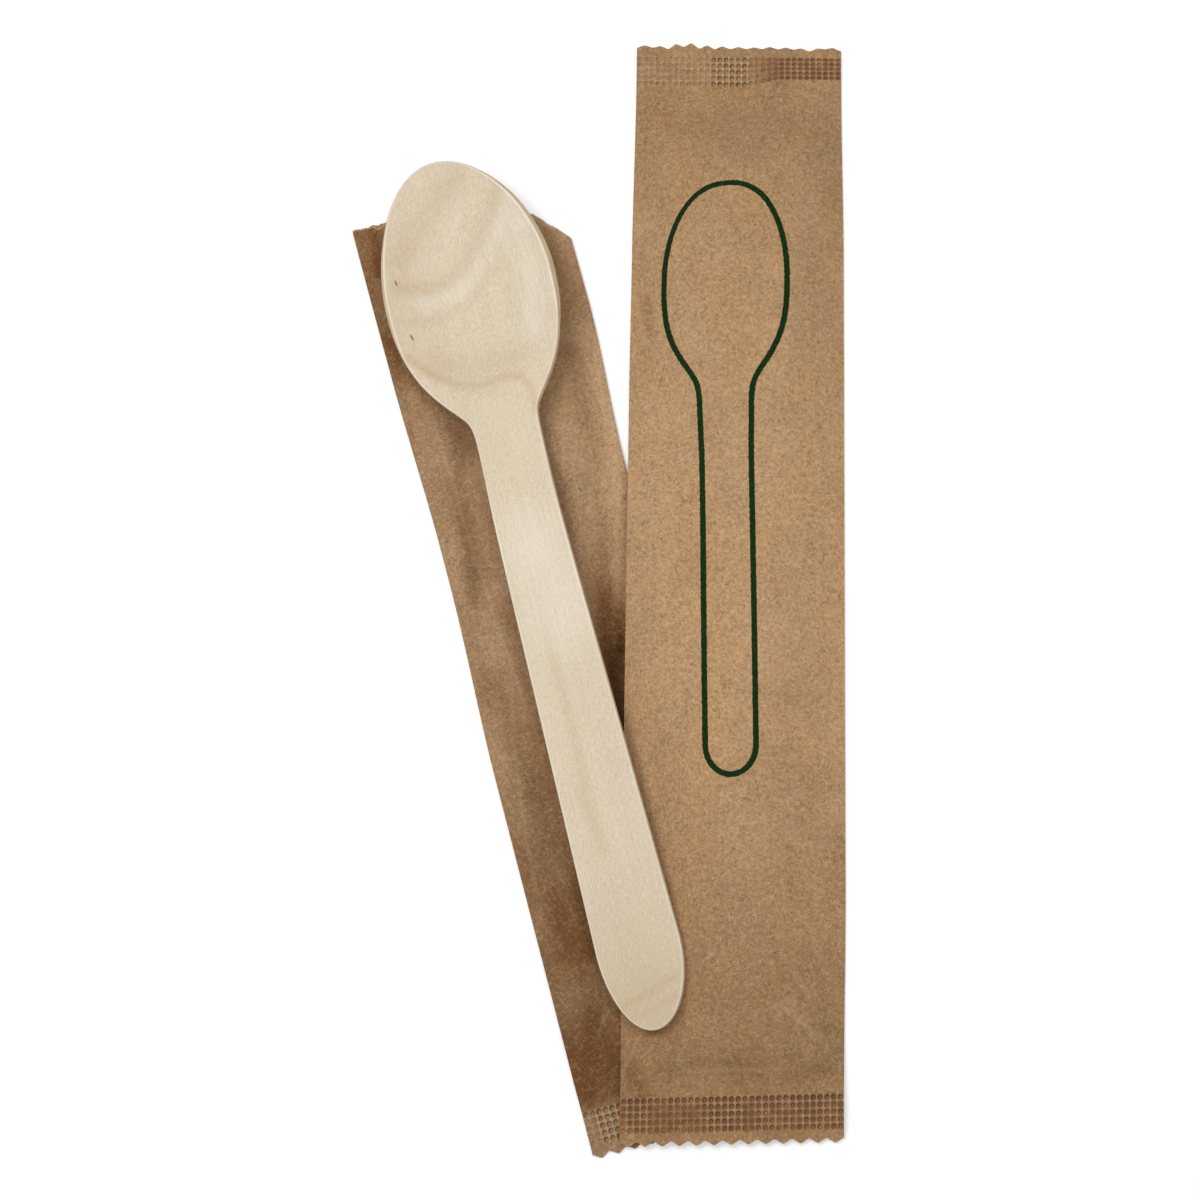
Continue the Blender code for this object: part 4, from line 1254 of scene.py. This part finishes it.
    def tear_line(self, across: Field, face: Face) -> Field:
        """Return the torn edge's distance from the foot at places across the sleeve."""
        run = np.maximum(across - self.tear_start, 0.0) / (self.half - self.tear_start)
        line = self.mouth - self.tear_drop * run ** self.tear_bend
        if face is Face.FRONT:
            line = line - self.torn_lip * ease(self.half, self.half * 0.7, np.abs(across))
        shift = radians(57) if face is Face.FRONT else radians(138)
        waves = ((1.0, 3.3, 0), (0.6, 1.7, 1), (0.35, 0.69, 1), (0.25, 0.36, 2))
        ragged = sum(level * np.sin(2 * pi * across / (size * MM) + k * shift) for level, size, k in waves)
        return line + self.jag * ragged * (1 - (across / self.half) ** 4)

    def half_at(self, share: Field, along: Field) -> Field:
        """Return half the width on the side that each place is on: both sides have a waist."""
        def waist(size: float, low: float, high: float) -> Field:
            slope = self.waist_slope
            return size * ease(low, low + slope, along) * ease(high, high - slope, along)

        flare = self.mouth_flare * ease(self.mouth - 2 * self.mouth_length, self.mouth, along)
        return self.half - np.where(share < 0, waist(*self.left_waist) - flare, waist(*self.right_waist))

    def room(self, x: Field, y: Field, share: Field, along: Field) -> Field:
        """Return the gap between the layers, least where the sachet or the bowl lies on them."""
        sachet_across, _ = SACHET_LIE.from_table(x, y)
        clear = ease(0.0, self.sachet_rise, -self.half - self.sachet_shadow - sachet_across)
        from_bowl = np.hypot(x - self.bowl_place[0], y - self.bowl_place[1])
        clear = clear * ease(self.pressed_core, self.pressed_reach, from_bowl)
        rise = ease(self.seal, self.seal + self.taper, along)
        wander = self.fold_wander * np.sin(along / self.wander_length)
        wave = 1 - self.fold_share * (1 - np.cos(2 * pi * (share * self.fold_spread + wander)))
        mouth = ease(self.mouth - self.mouth_length, self.mouth, along)
        past_bowl = ease(self.pressed_reach, self.pressed_reach + 4 * MM, from_bowl)
        swell = (self.swell * wave + self.mouth_swell * mouth
                 + self.relief(share * self.half, along) * past_bowl)
        return self.layer_gap + np.maximum(swell, 0.0) * rise * (1 - np.abs(share) ** 3) * clear

    def surface(self, share: Field, along: Field, face: Face, inside: bool) -> Field:
        """Return points on one layer of the sleeve, on its outer or its inner side."""
        across = share * (self.half_at(share, along) - (self.paper if inside else 0.0))
        if face is Face.BACK:
            level = self.back_level + (self.paper if inside else -self.fin_drop(share))
            return np.stack([across, along, np.broadcast_to(level, np.shape(along))], axis=-1)
        opened = ease(self.seal, self.seal + 5 * MM, along)
        room = self.room(*WRAPPER_LIE.to_table(across, along), share, along)
        level = self.back_level + 2 * self.paper + room * opened
        return np.stack([across, along, level - (self.paper if inside else 0.0)], axis=-1)

    def layer(self, maker: MeshMaker, face: Face, inside: bool, count: int) -> list[Field]:
        """Add one side of one layer, from the seal to the torn mouth, and return its rows."""
        share = even_shares(self.body_columns)[None, :]
        seat = np.linspace(0.0, 1.0, count + 1)[1:, None]
        mouth = self.tear_line(share * self.half, face)
        along = mix(self.seal, mouth, seat)
        grid = self.surface(np.broadcast_to(share, along.shape), along, face, inside)
        torn = ease(0.9 * MM, 0.1 * MM, mouth - along)
        return self.skin(maker, grid, torn=torn, print_line=np.ones_like(along))

    def build(self) -> bpy.types.Object:
        """Build, dress and place the wrapper, and return it."""
        maker = MeshMaker(SLEEVE_MARKS)
        outer, inner = [], []
        for face, count in ((Face.FRONT, self.body_rows), (Face.BACK, self.back_rows)):
            seal = self.seal_face(maker, False, face)
            skin = self.layer(maker, face, False, count)
            maker.join(seal[-1], skin[0])
            outer.append(seal + skin)
            lining = self.layer(maker, face, True, self.back_rows)
            maker.join(skin[-1], lining[-1])
            inner.append(lining)
        for rows in (outer, inner):
            maker.close(rows)
            maker.join(rows[0][0], rows[1][0])
        for end in (0, -1):
            maker.faces.append((int(outer[0][-1][end]), int(outer[1][-1][end]),
                                int(inner[1][-1][end]), int(inner[0][-1][end])))
        wrapper = maker.build("kraft_wrapper", radians(60))
        wrapper.data.materials.append(self.finish.material(printed=False))
        seat_on_node(wrapper, "opened_wrapper", WRAPPER_LIE.matrix(), lift=False)
        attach(wrapper, BODY)
        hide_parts("opened_wrapper")
        return wrapper


@dataclass(frozen=True)
class Lamp:
    """A soft square lamp over the table.

    Its share is how much of full light it gives where it aims.
    """

    name: str
    place: tuple[float, float, float]
    aim: tuple[float, float]
    size: float
    share: float

    def hang(self) -> bpy.types.Object:
        """Hang the lamp."""
        place = Vector(self.place)
        away = place - Vector((*self.aim, 0.0))
        data = bpy.data.lights.new(self.name, "AREA")
        data.shape = "SQUARE"
        data.size = self.size
        data.energy = self.share * pi * pi * away.length_squared / away.normalized().z
        lamp = show(self.name, data)
        lamp.location = place
        lamp.rotation_euler = away.to_track_quat("Z", "Y").to_euler()
        return lamp


@dataclass
class Studio:
    """The white table, the soft light from the upper left and the camera."""

    aim: tuple[float, float] = (0.75 * MM, -4.27 * MM)
    distance: float = 410 * MM
    tilt: float = radians(11.3)
    yaw: float = radians(6.5)
    view_width: float = 212.4 * MM
    sensor: float = 36.0
    table_size: float = 3.0
    table_drop: float = 0.05 * MM
    lamps: tuple["Lamp", ...] = (
        Lamp("key_lamp", (-0.09, 0.04, 0.29), (0.01, 0.0), 0.13, 0.34),
        Lamp("pool_lamp", (0.06, -0.01, 0.20), (0.05, -0.01), 0.07, 0.16))
    sky_share: float = 0.52
    white: StudioWhite = StudioWhite()

    def table(self) -> bpy.types.Object:
        """Lay the white table, just under the pack."""
        half = self.table_size / 2
        data = bpy.data.meshes.new("studio_table")
        data.from_pydata([(-half, -half, 0), (half, -half, 0), (half, half, 0), (-half, half, 0)],
                         [], [(0, 1, 2, 3)])
        data.materials.append(self.white.material())
        table = show("studio_table", data)
        table.location.z = -self.table_drop
        return table

    def sky(self) -> None:
        """Set the even light from all round, white to the camera."""
        world = bpy.data.worlds.new("even_sky")
        world.use_nodes = True
        nodes, links = world.node_tree.nodes, world.node_tree.links
        background = nodes["Background"]
        background.inputs["Color"].default_value = (1.0, 1.0, 1.0, 1.0)
        path = nodes.new("ShaderNodeLightPath")
        level = nodes.new("ShaderNodeMapRange")
        level.inputs["To Min"].default_value = self.sky_share
        level.inputs["To Max"].default_value = 1.0
        links.new(path.outputs["Is Camera Ray"], level.inputs["Value"])
        links.new(level.outputs["Result"], background.inputs["Strength"])
        bpy.context.scene.world = world

    def camera(self) -> bpy.types.Object:
        """Set up the camera that looks down on the pack."""
        toward = Vector((sin(self.yaw), -sin(self.tilt) * cos(self.yaw), cos(self.tilt) * cos(self.yaw)))
        up = (Vector((0, 1, 0)) - toward * toward.y).normalized()
        right = up.cross(toward)
        turn = Matrix((right, up, toward)).transposed().to_4x4()
        place = Vector((*self.aim, 0.0)) + toward * self.distance
        data = bpy.data.cameras.new("photo_camera")
        data.sensor_width = self.sensor
        data.lens = self.sensor * self.distance / self.view_width
        data.clip_start = 0.01
        camera = show("photo_camera", data)
        camera.matrix_world = Matrix.Translation(place) @ turn
        bpy.context.scene.camera = camera
        return camera

    def build(self) -> None:
        """Set up everything round the pack."""
        self.table()
        for lamp in self.lamps:
            lamp.hang()
        self.sky()
        self.camera()
        bpy.context.scene.view_settings.view_transform = "Standard"


def main() -> None:
    """Build and dress the pack, piece by piece, and set up the studio."""
    logging.basicConfig(level=logging.INFO, format="%(name)s: %(message)s")
    for part in (OpenedWrapper(), SealedSachet(), WoodenSpoon()):
        piece = part.build()
        LOG.info("%s: %d faces", piece.name, len(piece.data.polygons))
    Studio().build()


if __name__ == "__main__":
    main()
